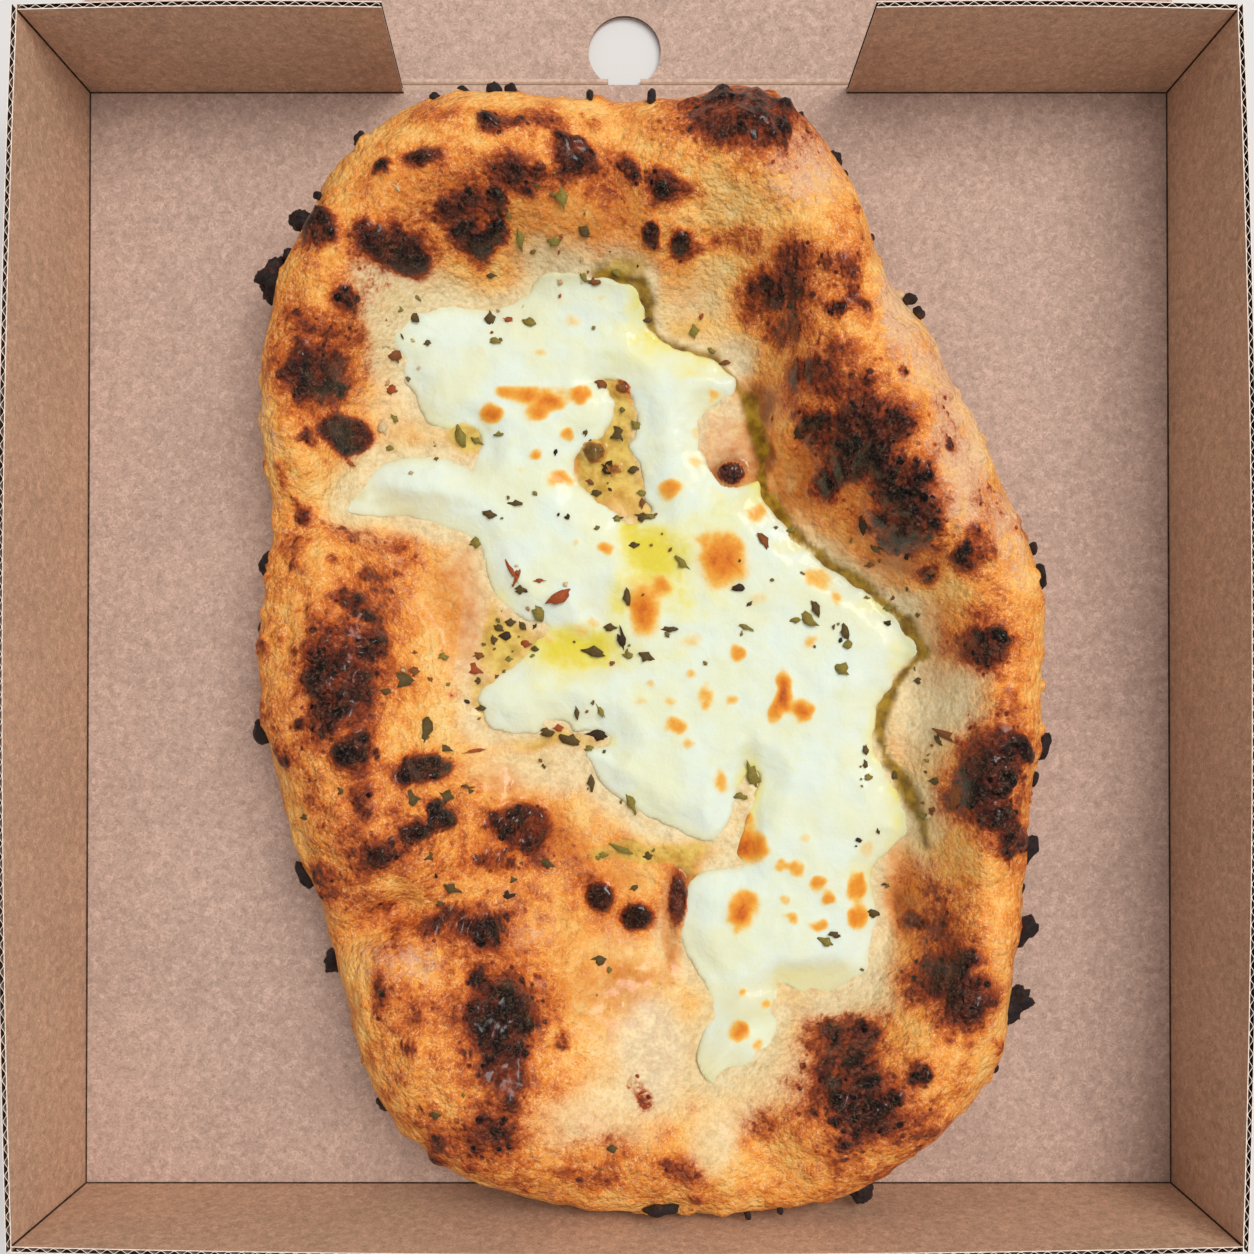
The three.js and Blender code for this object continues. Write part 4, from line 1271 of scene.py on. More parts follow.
    def _shaped(self, mesh: bpy.types.Mesh) -> tuple[Array, Array]:
        """Turn a unit ball's points into the loaf's smooth form.

        Args:
            mesh: the ball.

        Returns:
            The new points, and how far each is from the underside, 0 to 1.
        """
        ball = coordinates(mesh)
        ball /= np.linalg.norm(ball, axis=1, keepdims=True)
        degrees = np.degrees(np.arctan2(ball[:, 1], ball[:, 0])) % 360
        q = (np.degrees(np.arcsin(np.clip(ball[:, 2], -1, 1))) + 90) / 180
        outline = round_spline(self.radii, degrees)
        at = self.crest_at(degrees)
        under, lower, upper = 0.05, 0.16, 0.37
        flat = outline - self.base_inset
        low = np.clip((q - under) / (lower - under), 0, 1) * math.pi / 2
        up = np.clip((q - lower) / (upper - lower), 0, 1) * self.crest_turn
        edge_inner = outline - at * (1 - math.cos(self.crest_turn))
        radius = np.where(
            q < under,
            flat * q / under,
            np.where(
                q < lower,
                outline - self.base_inset * (1 - np.sin(low)),
                np.where(q < upper, outline - at * (1 - np.cos(up)), edge_inner * (1 - q) / (1 - upper)),
            ),
        )
        angle = np.radians(degrees)
        x = self.centre[0] + radius * np.cos(angle)
        y = self.centre[1] + radius * np.sin(angle)
        z = np.where(
            q < under,
            0.0,
            np.where(q < lower, self.widest_level * (1 - np.cos(low)), self.height(x, y)),
        )
        return np.column_stack([x, y, z + self.base]), q

    def bake_level(self, x: Array, y: Array, z: Array) -> Array:
        """How far the crust is baked, from 0, raw cream, to 1, char.

        Args:
            x, y, z: points of the crust.

        Returns:
            The level at each point.
        """
        n = self.noise
        wx, wy = n.bent(x, y, (7.0, 3.0, 27.0, 33.0), (1.9, 9.0), (1.2, 3.4))
        degrees, inward = self.polar(x, y)
        width = round_spline(self.rim_widths, degrees)
        across = np.clip(inward / width, 0, 1)
        base = self.plain_bake - 0.06 * smooth((across - 0.5) / 0.5)
        base = base + (self.toasted_bake - base) * 0.8 * TOASTED_SPOTS.cover(wx, wy, self.on_crust)
        base = base + 0.09 * n.layered(x, y, z, 24.0, 2) + 0.07 * n.at(x, y, z, 8.0)
        side = smooth((self.base + self.widest_level + 4 - z) / 9)
        base = base + side * 0.1 * n.layered(x, y, z + 40, 12.0, 2)
        base = base + (self.golden_bake - base) * 0.85 * GOLDEN_SPOTS.cover(wx, wy, self.on_crust)
        char = CHAR_SPOTS.cover(wx, wy, self.on_crust) * (1 - 0.6 * side)
        halo = CHAR_SPOTS.cover(wx, wy, self.on_crust, self.halo_grow) * (1 - 0.6 * side)
        base = base + (self.halo_bake - base).clip(0) * 0.85 * halo
        uneven = 1.0 + 0.3 * n.at(x, y, 5.0, 3.4) + 0.15 * n.at(x, y, 5.0, 1.7)
        level = base + (self.char_bake - base) * np.clip(char**1.25 * uneven, 0, 1)
        crisp = DARK_DOMES.cover(x, y, self.on_crust)
        return np.clip(level + (self.dome_bake - level).clip(0) * crisp, 0, 1)

    def make(self, shore: Shore) -> bpy.types.Object:
        """Build the loaf.

        Args:
            shore: the cheese's edge, round which the dough stays pale and oily.

        Returns:
            The bread's piece.
        """
        bm = bmesh.new()
        bmesh.ops.create_uvsphere(bm, u_segments=self.round_steps, v_segments=self.rings, radius=1)
        mesh = bpy.data.meshes.new("bread_crust")
        bm.to_mesh(mesh)
        bm.free()
        points, q = self._shaped(mesh)
        x, y, z = points.T
        bake = self.bake_level(x, y, z)
        rise, scorch = self._blisters(x, y, z, bake)
        edge = shore.at(x, y)
        beside = (edge < self.pale_reach) & (z > self.base + self.side_height) & (bake < self.halo_bake)
        paler = 0.75 * smooth((self.pale_reach - edge) / 6) * (1 - GLAZE_SPOTS.cover(x, y, self.on_crust))
        bake = np.where(beside, bake - (bake - self.dough_bake).clip(0) * paler, bake)
        place_points(mesh, self._roughened(points, q, bake, rise))
        paint(mesh, "bake", np.clip(bake + scorch, 0, 1))
        self._paint_rest(mesh, x, y, z, edge)
        piece = finish_piece("bread_crust", mesh, [CrustFinish().make()], "tray")
        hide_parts("bread")
        return piece

    def _paint_rest(self, mesh: bpy.types.Mesh, x: Array, y: Array, z: Array, edge: Array) -> None:
        """Paint where the crust is oily, pale and floury.

        Args:
            mesh: the loaf.
            x, y, z: its smooth points.
            edge: their distance from the cheese.
        """
        n = self.noise
        upper = z > self.base + self.side_height
        wx, wy = n.bent(x, y, (61.0, 62.0, 71.0, 72.0), (2.0, 8.0), (0.7, 2.4))
        line = self._oil_line(x + 0.5 * n.at(x, y, 63.0, 4.0), y + 0.5 * n.at(x, y, 64.0, 4.0))
        paint(mesh, "oil", OIL_SPOTS.cover(wx, wy, self.on_crust) * 0.9 * upper)
        paint(mesh, "line", line * upper)
        glaze = GLAZE_SPOTS.cover(wx, wy, self.on_crust) * upper
        paint(mesh, "glaze", glaze)
        ring = smooth((8.5 + 4.0 * n.at(x, y, 81.0, 8.0) - edge) / 7.0) * (1 - glaze)
        pale = np.maximum(PALE_SPOTS.cover(wx, wy, self.on_crust), ring * 0.9) * upper
        paint(mesh, "pale", pale)
        side = smooth((self.base + self.widest_level + 8 - z) / 14)
        flour = FLOUR_SPOTS.cover(wx, wy, self.on_crust) + 0.34 * side + 0.2 * n.at(x, y, z, 11.0)
        paint(mesh, "flour", np.clip(flour, 0, 1))

    def _oil_line(self, x: Array, y: Array) -> Array:
        """Draw the dark line of oil that stands along the cheese's right edge.

        Args:
            x, y: points of the crust.

        Returns:
            1 on the line, 0 off it.
        """
        px, py = np.array(OIL_LINE, float).T
        lx, ly, _ = self.on_crust(px, py)
        found = np.zeros(len(x))
        for i in range(len(lx) - 1):
            wide = 1.3 + 0.7 * math.sin(i * 1.7)
            row = (lx[i], ly[i], lx[i + 1], ly[i + 1], 0.0, 0.0)
            found = np.maximum(found, smooth(1.6 - stroke_distance(row, x, y) / wide))
        return found

    def _roughened(self, points: Array, q: Array, bake: Array, rise: Array) -> Array:
        """Add lumps, blisters and domes to the smooth form.

        Args:
            points: the smooth form.
            q: how far each point is from the underside.
            bake: how far the crust is baked there.
            rise: height of the small blisters.

        Returns:
            The rough points.
        """
        n = self.noise
        x, y, z = points.T
        centre = np.array([*self.centre, 12.0])
        out = points - centre
        _, inward = self.polar(x, y)
        lean = smooth(1 - inward / 16)[:, None]
        flat_out = out * [1, 1, 0.0]
        flat_out /= np.maximum(np.linalg.norm(flat_out, axis=1, keepdims=True), 1e-6)
        push = flat_out * lean + np.array([0, 0, 1.0]) * (1 - 0.75 * lean)
        push /= np.linalg.norm(push, axis=1, keepdims=True)
        rim = smooth((z - self.base - 14) / 12)
        lumps = 1.3 * n.at(x, y, z, 21.0) + 0.9 * n.at(x, y, z, 9.5)
        small = 0.45 * n.at(x, y, z, 4.4) + 0.2 * n.at(x, y, z, 2.4)
        blistered = 0.8 * smooth((bake - 0.5) / 0.3) * np.abs(n.at(x, y, z + 9, 2.8))
        domes = 1.6 * DARK_DOMES.cover(x, y, self.on_crust) * smooth((z - self.base - 7) / 3)
        amount = (lumps * (0.2 + 0.8 * rim) + small) + blistered + domes + rise
        amount *= smooth((q - 0.05) / 0.12)
        rough = points + push * amount[:, None]
        rough[:, 2] = np.maximum(rough[:, 2], self.base - 0.2)
        rough[:, 1] = np.maximum(rough[:, 1], FRONT_FACE)
        return rough

    def _blisters(self, x: Array, y: Array, z: Array, bake: Array) -> tuple[Array, Array]:
        """Heights of the small scattered blisters, and how much darker they are.

        Args:
            x, y, z: points of the crust.
            bake: how far the crust is baked there.

        Returns:
            The rise and the extra bake at each point.
        """
        draw = np.random.default_rng(self.seed + 1)
        rise, scorch = np.zeros(len(x)), np.zeros(len(x))
        likely = (0.05 + smooth((bake - 0.5) / 0.25)) * (z > self.base + 13)
        picks = draw.choice(len(x), size=self.blisters, p=likely / likely.sum())
        radii = 0.9 + 1.7 * draw.random(self.blisters) ** 2.6
        darker = 0.02 + 0.3 * draw.random(self.blisters) ** 2.6
        for pick, radius, dark in zip(picks, radii, darker):
            near = np.nonzero((np.abs(x - x[pick]) < radius) & (np.abs(y - y[pick]) < radius))[0]
            d2 = (x[near] - x[pick]) ** 2 + (y[near] - y[pick]) ** 2 + (z[near] - z[pick]) ** 2
            share = np.clip(1 - d2 / radius**2, 0, 1)
            rise[near] = np.maximum(rise[near], 0.55 * radius * np.sqrt(share))
            scorch[near] = np.maximum(scorch[near], dark * smooth(1.6 * share))
        return rise, scorch


@dataclass
class CharredBlisters:
    """Black burst bubbles that stand out of the bread's edge."""

    bread: Bread
    rows: tuple[tuple[float, ...], ...] = (
        # px, py, half-axes outwards, along and upwards in mm, height of the middle
        (279, 280, 4.4, 5.8, 4.8, 22), (301, 219, 3.2, 3.0, 3.4, 24), (362, 140, 2.0, 2.2, 2.2, 26),
        (436, 98, 1.8, 1.6, 1.8, 26), (464, 94, 2.0, 2.2, 1.8, 26), (494, 89, 2.0, 2.4, 2.0, 26),
        (512, 90, 1.8, 1.8, 1.8, 26), (590, 96, 1.4, 1.2, 1.4, 27), (404, 127, 1.4, 1.2, 1.2, 26),
        (270, 564, 2.3, 3.2, 3.0, 21), (257, 733, 2.2, 3.2, 3.0, 21), (297, 879, 1.6, 3.6, 2.8, 21),
        (325, 973, 5.0, 3.2, 3.2, 14), (378, 1122, 2.8, 3.6, 3.2, 15), (651, 98, 2.4, 1.4, 1.6, 28),
        (775, 97, 1.4, 1.2, 1.2, 27), (799, 117, 1.4, 1.2, 1.2, 27), (833, 160, 2.4, 2.6, 2.6, 26),
        (840, 177, 1.8, 2.0, 2.0, 25), (871, 237, 1.0, 1.2, 1.2, 26), (910, 299, 1.6, 1.8, 1.8, 25),
        (919, 313, 1.6, 2.0, 2.0, 24), (1035, 548, 1.4, 2.0, 2.0, 24), (1041, 577, 1.6, 3.0, 2.6, 23),
        (1040, 747, 2.2, 4.0, 3.2, 22), (1027, 851, 2.0, 4.2, 3.0, 21), (1026, 933, 2.6, 4.4, 3.6, 21),
        (1009, 1008, 3.2, 7.0, 4.2, 20), (997, 1071, 1.4, 1.6, 1.6, 22), (862, 1195, 4.6, 3.2, 3.4, 19),
        (661, 1222, 1.6, 4.4, 2.2, 29), (262, 630, 1.2, 1.8, 1.8, 22), (1038, 610, 1.0, 1.6, 1.6, 24),
        (1034, 780, 1.0, 1.8, 1.6, 23), (748, 1216, 2.0, 1.0, 1.2, 27), (780, 1210, 1.6, 1.0, 1.2, 27),
        (286, 252, 1.6, 1.8, 2.0, 25), (318, 196, 1.2, 1.4, 1.4, 27), (1019, 890, 1.2, 1.6, 1.6, 23),
    )
    lumps: float = 0.3
    seed: int = 31
    large: float = 3.0

    def make(self) -> bpy.types.Object:
        """Build the blisters.

        Returns:
            Their piece.
        """
        bm = bmesh.new()
        noise = Noise(self.seed)
        for px, py, out, along, up, level in self.rows:
            x, y = VIEW.ground(px, py, level)
            x, y = self._attached(float(x), float(y), out, level)
            turn = math.atan2(y - self.bread.centre[1], x - self.bread.centre[0])
            rounds = 4 if out > self.large else 3
            made = bmesh.ops.create_icosphere(bm, subdivisions=rounds, radius=1)["verts"]
            place = np.array([v.co for v in made]).T * np.array([[out], [along], [up]]) / 3
            swell = 1 + self.lumps * noise.at(*(place + level), 0.8)
            swell += 0.6 * self.lumps * noise.at(*(place + px), 0.36)
            swell += 0.3 * self.lumps * noise.at(*(place + py), 0.17)
            for vertex, share in zip(made, swell):
                vertex.co *= share
            shape = Matrix.Translation((x, y, level)) @ Matrix.Rotation(turn, 4, "Z")
            shape = shape @ Matrix.Diagonal((out, along, up, 1))
            bmesh.ops.transform(bm, matrix=shape, verts=made)
        for vertex in bm.verts:
            vertex.co.y = max(vertex.co.y, FRONT_FACE)
        return finish_piece("charred_blisters", bm, [CharFinish().make()], "tray")

    def _attached(self, x: float, y: float, out: float, level: float) -> tuple[float, float]:
        """Draw a blister in to where it still holds on to the crust's side.

        Args:
            x, y: where the picture shows it.
            out: its half-axis outwards.
            level: its height in the part's frame.

        Returns:
            Its place.
        """
        dx, dy = x - self.bread.centre[0], y - self.bread.centre[1]
        angle = np.array([math.degrees(math.atan2(dy, dx)) % 360])
        outline = float(round_spline(self.bread.radii, angle)[0])
        crest = float(self.bread.crest_at(angle)[0])
        above = (level - self.bread.base - self.bread.widest_level) / 14
        inset = crest * (1 - math.sqrt(max(0.0, 1 - above * above))) if above > 0 else -2.0 * above
        reach = math.hypot(dx, dy)
        share = min(reach, outline - inset + 0.45 * out) / reach
        return self.bread.centre[0] + dx * share, self.bread.centre[1] + dy * share


# ---------------------------------------------------------------- the cheese


def cheese_shore(bread: Bread) -> Shore:
    """Lay the cheese's outlines, as the picture shows them, on the crust.

    Args:
        bread: what carries the cheese.

    Returns:
        The distance to its edge.
    """
    outlines = []
    for rows in (CHEESE_SHORE, HERB_HOLLOW):
        px, py = np.array(rows, float).T
        x, y, _ = bread.on_crust(px, py)
        outlines.append(closed_curve(np.column_stack([x, y])))
    return Shore(tuple(outlines))


@dataclass
class Cheese:
    """Melted cheese that ran into lobes over the basin."""

    bread: Bread
    shore: Shore
    thickness: float = 2.9
    spacing: float = 0.66
    edge_width: float = 9.0
    root: float = 1.6
    sink: float = 0.1
    farthest: float = 0.8
    seed: int = 17
    noise: Noise = field(init=False)

    def __post_init__(self) -> None:
        """Prepare the noise."""
        self.noise = Noise(self.seed)

    def edge(self, x: Array, y: Array) -> Array:
        """Measure how far points are from the cheese's ragged edge.

        Args:
            x, y: the points.

        Returns:
            Their distance outside it, negative inside.
        """
        return self.shore.at(*self.noise.bent(x, y, (1.0, 2.0, 11.0, 12.0), (0.5, 4.5), (0.35, 1.9)))

    def depth(self, x: Array, y: Array, edge: Array) -> Array:
        """Say how thick the cheese is.

        Args:
            x, y: the points.
            edge: their distance from its edge, as edge gives it.

        Returns:
            The thickness at each.
        """
        n = self.noise
        body = self.thickness * (1 - 0.7 * THIN_SPOTS.cover(x, y))
        ripple = 1 + 0.16 * n.at(x, y, 4.0, 15.0) + 0.09 * n.at(x, y, 4.0, 6.0) + 0.05 * n.at(x, y, 4.0, 2.8)
        body = body * ripple
        inside = np.clip(-edge / self.edge_width, 0, 1)
        lip = np.sqrt(1 - (1 - np.clip(-edge / 1.6, 0, 1)) ** 2)
        return body * (0.16 * lip + 0.84 * smooth(inside)) + 0.3 * TOAST_SPOTS.cover(x, y) * inside

    def top(self, x: Array, y: Array) -> Array:
        """Height of the cheese's upper surface in the part's frame."""
        return self.bread.top(x, y) + self.depth(x, y, self.edge(x, y))

    def make(self) -> bpy.types.Object:
        """Build the cheese.

        Returns:
            Its piece.
        """
        every = np.concatenate(self.shore.outlines)
        low, high = every.min(0) - 3, every.max(0) + 3
        steps = [round((b - a) / self.spacing) for a, b in zip(low, high)]
        bm = bmesh.new()
        bmesh.ops.create_grid(bm, x_segments=steps[0], y_segments=steps[1], size=0.5)
        size = Matrix.Diagonal((high[0] - low[0], high[1] - low[1], 1, 1))
        middle = Matrix.Translation(((low[0] + high[0]) / 2, (low[1] + high[1]) / 2, 0))
        bmesh.ops.transform(bm, matrix=middle @ size, verts=bm.verts)
        flat = np.array([v.co[:2] for v in bm.verts])
        edge = self.edge(*flat.T)
        outside = [v for v, e in zip(bm.verts, edge) if e > 0.75 * self.spacing]
        bmesh.ops.delete(bm, geom=outside, context="VERTS")
        loose = [v for v in bm.verts if not v.link_faces]
        bmesh.ops.delete(bm, geom=loose, context="VERTS")
        self._draw_in(bm)
        flat = np.array([v.co[:2] for v in bm.verts])
        ground = self.bread.top(*flat.T)
        for vertex, z in zip(bm.verts, ground):
            vertex.co.z = z - self.root
        raised = bmesh.ops.extrude_face_region(bm, geom=bm.faces[:])["geom"]
        upper = [v for v in raised if isinstance(v, bmesh.types.BMVert)]
        flat = np.array([v.co[:2] for v in upper])
        x, y = flat.T
        for vertex, z in zip(upper, self.top(x, y) - self.sink):
            vertex.co.z = z
        bmesh.ops.recalc_face_normals(bm, faces=bm.faces)
        x, y = np.array([v.co[:2] for v in bm.verts]).T
        bmesh.ops.scale(bm, vec=(MM, MM, MM), verts=bm.verts)
        mesh = bpy.data.meshes.new("melted_cheese")
        bm.to_mesh(mesh)
        bm.free()
        self._paint(mesh, x, y)
        piece = finish_piece("melted_cheese", mesh, [CheeseFinish().make()], "tray")
        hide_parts("mozzarella")
        return piece

    def _draw_in(self, bm: bmesh.types.BMesh) -> None:
        """Pull the points near the edge onto it.

        Args:
            bm: the cheese's flat sheet.
        """
        step = 0.05
        for _ in range(2):
            near = [v for v in bm.verts if v.is_boundary or any(e.is_boundary for e in v.link_edges)]
            x, y = np.array([v.co[:2] for v in near]).T
            here = self.edge(x, y)
            gx = (self.edge(x + step, y) - here) / step
            gy = (self.edge(x, y + step) - here) / step
            reach = here / np.maximum(gx * gx + gy * gy, 0.3)
            for vertex, dx, dy in zip(near, reach * gx, reach * gy):
                vertex.co.x -= max(-self.farthest, min(self.farthest, dx))
                vertex.co.y -= max(-self.farthest, min(self.farthest, dy))

    def _paint(self, mesh: bpy.types.Mesh, x: Array, y: Array) -> None:
        """Paint toasted, yellow and thin places.

        Args:
            mesh: the cheese.
            x, y: its points.
        """
        wx, wy = self.noise.bent(x, y, (21.0, 22.0, 31.0, 32.0), (1.0, 5.0), (0.7, 2.4))
        edge = self.edge(x, y)
        paint(mesh, "toast", TOAST_SPOTS.cover(wx, wy))
        rim = smooth(1 + edge / (2.6 + 1.6 * self.noise.at(x, y, 41.0, 9.0)))
        paint(mesh, "yellow", np.clip(YELLOW_SPOTS.cover(wx, wy) + 0.14 * rim, 0, 1))
        paint(mesh, "thin", np.clip(THIN_SPOTS.cover(wx, wy) + 0.6 * rim, 0, 1))


# ---------------------------------------------------------------- the herbs


class Tone(Enum):
    """Tones of dried leaf, as places on the finish's ramp."""

    BLACK = 0.05
    DARK = 0.2
    OLIVE = 0.4
    BROWN = 0.62
    RED = 0.8
    PALE = 1.0


Flake = tuple[float, float, float, float, float, float]  # x, y, length, width, turn and tone


@dataclass
class Herbs:
    """Dried herb flakes that lie on the bread and the cheese."""

    bread: Bread
    cheese: Cheese
    rows: tuple[tuple[float, float, float, float, float, str], ...] = (
        # px, py, length and width in pixels, turn in degrees, tone
        (385, 344, 8, 6, 20, "P"), (394, 355, 16, 11, 60, "B"), (392, 390, 12, 9, 10, "R"),
        (395, 419, 9, 6, 40, "O"), (383, 428, 12, 9, 70, "P"), (348, 462, 14, 5, 25, "R"),
        (399, 309, 8, 5, 0, "O"), (415, 318, 10, 7, 30, "D"), (491, 319, 14, 9, 80, "D"),
        (509, 321, 8, 5, 10, "R"), (529, 325, 12, 8, 15, "O"), (496, 344, 14, 6, 15, "O"),
        (491, 276, 9, 4, 0, "D"), (584, 279, 8, 6, 50, "O"), (593, 283, 12, 8, 0, "B"),
        (616, 273, 9, 6, 20, "O"), (477, 441, 12, 5, 30, "O"), (461, 438, 20, 9, 70, "O"),
        (390, 448, 8, 5, 0, "O"), (429, 346, 7, 5, 0, "D"), (434, 445, 7, 5, 0, "O"),
        (516, 505, 15, 5, 5, "D"), (491, 516, 13, 7, 10, "D"), (476, 543, 12, 10, 0, "O"),
        (568, 519, 6, 5, 0, "K"), (618, 518, 10, 4, 0, "D"), (601, 385, 13, 9, 20, "B"),
        (593, 452, 19, 13, 80, "K"), (608, 468, 16, 12, 30, "K"), (618, 434, 14, 10, 60, "D"),
        (636, 425, 11, 8, 40, "O"), (597, 493, 9, 6, 0, "D"), (590, 482, 8, 5, 30, "B"),
        (641, 493, 9, 6, 0, "O"), (642, 503, 9, 6, 90, "B"), (643, 517, 14, 8, 5, "D"),
        (694, 332, 12, 8, 80, "O"), (648, 321, 8, 5, 0, "D"), (711, 350, 9, 6, 30, "O"),
        (725, 363, 9, 6, 0, "B"), (799, 434, 14, 10, 150, "K"), (862, 526, 15, 8, 80, "K"),
        (851, 554, 8, 6, 0, "D"), (875, 550, 13, 4, 45, "D"), (870, 565, 8, 5, 0, "B"),
        (763, 542, 16, 10, 60, "B"), (792, 530, 8, 5, 0, "O"), (633, 470, 9, 7, 0, "D"),
        (617, 519, 8, 6, 40, "O"), (650, 517, 10, 7, 0, "O"), (512, 571, 22, 4, 60, "R"),
        (518, 578, 18, 4, 110, "R"), (521, 591, 11, 8, 0, "D"), (540, 582, 9, 4, 0, "R"),
        (561, 596, 26, 13, 150, "R"), (539, 614, 17, 12, 70, "O"), (511, 622, 10, 7, 0, "D"),
        (523, 626, 10, 7, 50, "D"), (506, 636, 11, 9, 0, "K"), (499, 628, 9, 6, 30, "D"),
        (494, 640, 9, 6, 80, "D"), (525, 644, 10, 7, 0, "R"), (535, 649, 8, 6, 0, "D"),
        (509, 659, 8, 6, 0, "O"), (479, 656, 10, 7, 0, "B"), (473, 669, 16, 12, 20, "R"),
        (444, 657, 9, 6, 0, "O"), (627, 599, 18, 7, 80, "D"), (611, 628, 14, 9, 0, "D"),
        (622, 640, 20, 8, 80, "K"), (593, 652, 20, 9, 10, "D"), (628, 656, 10, 7, 0, "O"),
        (646, 657, 14, 9, 30, "D"), (669, 630, 14, 7, 0, "D"), (744, 628, 14, 4, 20, "O"),
        (738, 589, 11, 7, 0, "K"), (682, 564, 16, 8, 40, "O"), (634, 546, 9, 6, 0, "D"),
        (577, 713, 12, 5, 80, "D"), (601, 712, 14, 5, 60, "O"), (547, 732, 14, 9, 0, "D"),
        (558, 728, 10, 7, 0, "R"), (571, 740, 18, 11, 20, "D"), (597, 734, 18, 12, 0, "K"),
        (589, 748, 10, 7, 0, "O"), (481, 708, 9, 6, 0, "D"), (478, 681, 8, 6, 0, "D"),
        (591, 783, 14, 8, 80, "D"), (631, 803, 18, 10, 70, "O"), (466, 789, 14, 9, 0, "D"),
        (446, 796, 14, 12, 30, "D"), (486, 808, 10, 7, 60, "D"), (741, 797, 12, 9, 0, "O"),
        (752, 775, 24, 13, 70, "O"), (445, 748, 16, 6, 15, "D"), (475, 751, 18, 4, 170, "R"),
        (620, 848, 22, 7, 20, "O"), (603, 855, 9, 6, 0, "O"), (648, 856, 9, 6, 0, "D"),
        (794, 621, 10, 7, 0, "O"), (806, 620, 20, 9, 40, "O"), (814, 609, 16, 8, 60, "D"),
        (843, 632, 14, 9, 80, "D"), (846, 645, 10, 8, 0, "O"), (840, 669, 16, 10, 30, "O"),
        (887, 623, 8, 6, 0, "K"), (888, 609, 8, 5, 0, "O"), (918, 681, 8, 6, 0, "D"),
        (949, 737, 26, 8, 28, "B"), (940, 741, 12, 6, 60, "D"), (957, 797, 20, 14, 110, "B"),
        (894, 776, 9, 6, 90, "D"), (923, 816, 8, 6, 0, "O"), (865, 750, 8, 6, 80, "D"),
        (865, 764, 9, 5, 80, "D"), (867, 777, 8, 6, 0, "O"), (857, 839, 6, 5, 0, "K"),
        (934, 781, 8, 6, 0, "D"), (931, 571, 8, 6, 0, "B"), (599, 959, 12, 9, 0, "D"),
        (874, 913, 14, 7, 15, "D"), (825, 940, 14, 8, 30, "O"), (833, 933, 10, 7, 0, "D"),
        (836, 1025, 9, 5, 0, "B"), (634, 888, 8, 6, 0, "D"), (562, 198, 20, 9, 80, "O"),
        (520, 239, 16, 8, 80, "O"), (554, 242, 12, 8, 0, "O"), (584, 232, 14, 8, 30, "D"),
        (396, 184, 12, 7, 70, "P"), (402, 679, 18, 13, 20, "D"), (414, 671, 10, 7, 0, "B"),
        (386, 691, 9, 6, 0, "D"), (426, 729, 24, 11, 100, "D"), (320, 779, 12, 8, 80, "D"),
        (339, 791, 8, 6, 0, "D"), (366, 791, 9, 6, 0, "D"), (408, 797, 22, 13, 20, "D"),
        (357, 807, 10, 6, 0, "B"), (305, 817, 8, 5, 0, "D"), (416, 833, 13, 7, 30, "P"),
        (340, 846, 8, 6, 0, "D"), (381, 858, 26, 16, 170, "K"), (429, 855, 12, 8, 40, "D"),
        (546, 863, 18, 8, 20, "D"), (512, 879, 9, 6, 0, "D"), (452, 888, 14, 8, 30, "D"),
        (440, 904, 8, 5, 0, "D"), (508, 895, 14, 7, 0, "K"), (434, 1115, 10, 7, 0, "D"),
        (612, 1149, 9, 6, 0, "D"), (651, 236, 20, 11, 80, "K"), (500, 436, 8, 5, 0, "O"),
    )
    enlarged: float = 1.15
    level: float = 20.0
    specks: int = 150
    seed: int = 23
    letters: dict[str, Tone] = field(
        default_factory=lambda: {
            "K": Tone.BLACK, "D": Tone.DARK, "O": Tone.OLIVE,
            "B": Tone.BROWN, "R": Tone.RED, "P": Tone.PALE,
        }
    )

    def ground(self, x: Array, y: Array) -> tuple[Array, Array]:
        """Find what a flake lies on.

        Args:
            x, y: the points.

        Returns:
            The height there, and whether it is the cheese.
        """
        edge = self.cheese.edge(x, y)
        crust = self.bread.top(x, y)
        return np.where(edge < 0, crust + self.cheese.depth(x, y, edge), crust), edge < 0

    def _places(self) -> list[Flake]:
        """Lay the flakes that the picture shows on the part.

        Returns:
            The flakes.
        """
        px, py = (np.array([r[i] for r in self.rows], float) for i in (0, 1))
        x, y, _ = self.bread.on_crust(px, py)
        found = []
        for row, fx, fy in zip(self.rows, x, y):
            scale = self.enlarged * VIEW.scale(self.level)
            tone = self.letters[row[5]].value
            found.append((fx, fy, row[2] * scale, row[3] * scale, -math.radians(row[4]), tone))
        return found

    def _scattered(self) -> list[Flake]:
        """Scatter fine crumbs of leaf, thicker where the larger flakes are.

        Returns:
            The crumbs.
        """
        draw = np.random.default_rng(self.seed)
        main = self._places()
        found = []
        for _ in range(self.specks):
            near = main[draw.integers(len(main))]
            angle, reach = draw.random() * 2 * math.pi, 1.5 + 13 * draw.random() ** 1.5
            size = 0.5 + 0.8 * draw.random()
            tone = float(np.clip(near[5] + draw.normal(0.12, 0.15), 0, 1))
            x, y = near[0] + reach * math.cos(angle), near[1] + reach * math.sin(angle)
            found.append((x, y, size * 1.4, size, draw.random() * 3.1, tone))
        return found

    def make(self) -> list[bpy.types.Object]:
        """Build the flakes.

        Returns:
            One piece for those on the bread and one for those on the cheese.
        """
        flakes = self._places() + self._scattered()
        _, on_cheese = self.ground(*np.array([f[:2] for f in flakes]).T)
        material = HerbFinish().make()
        kinds = (("herbs_on_bread", False, "crust"), ("herbs_on_cheese", True, "cheese"))
        return [
            self._joined(name, [f for f, c in zip(flakes, on_cheese) if c == wanted], material)
            for name, wanted, slot in kinds
        ]

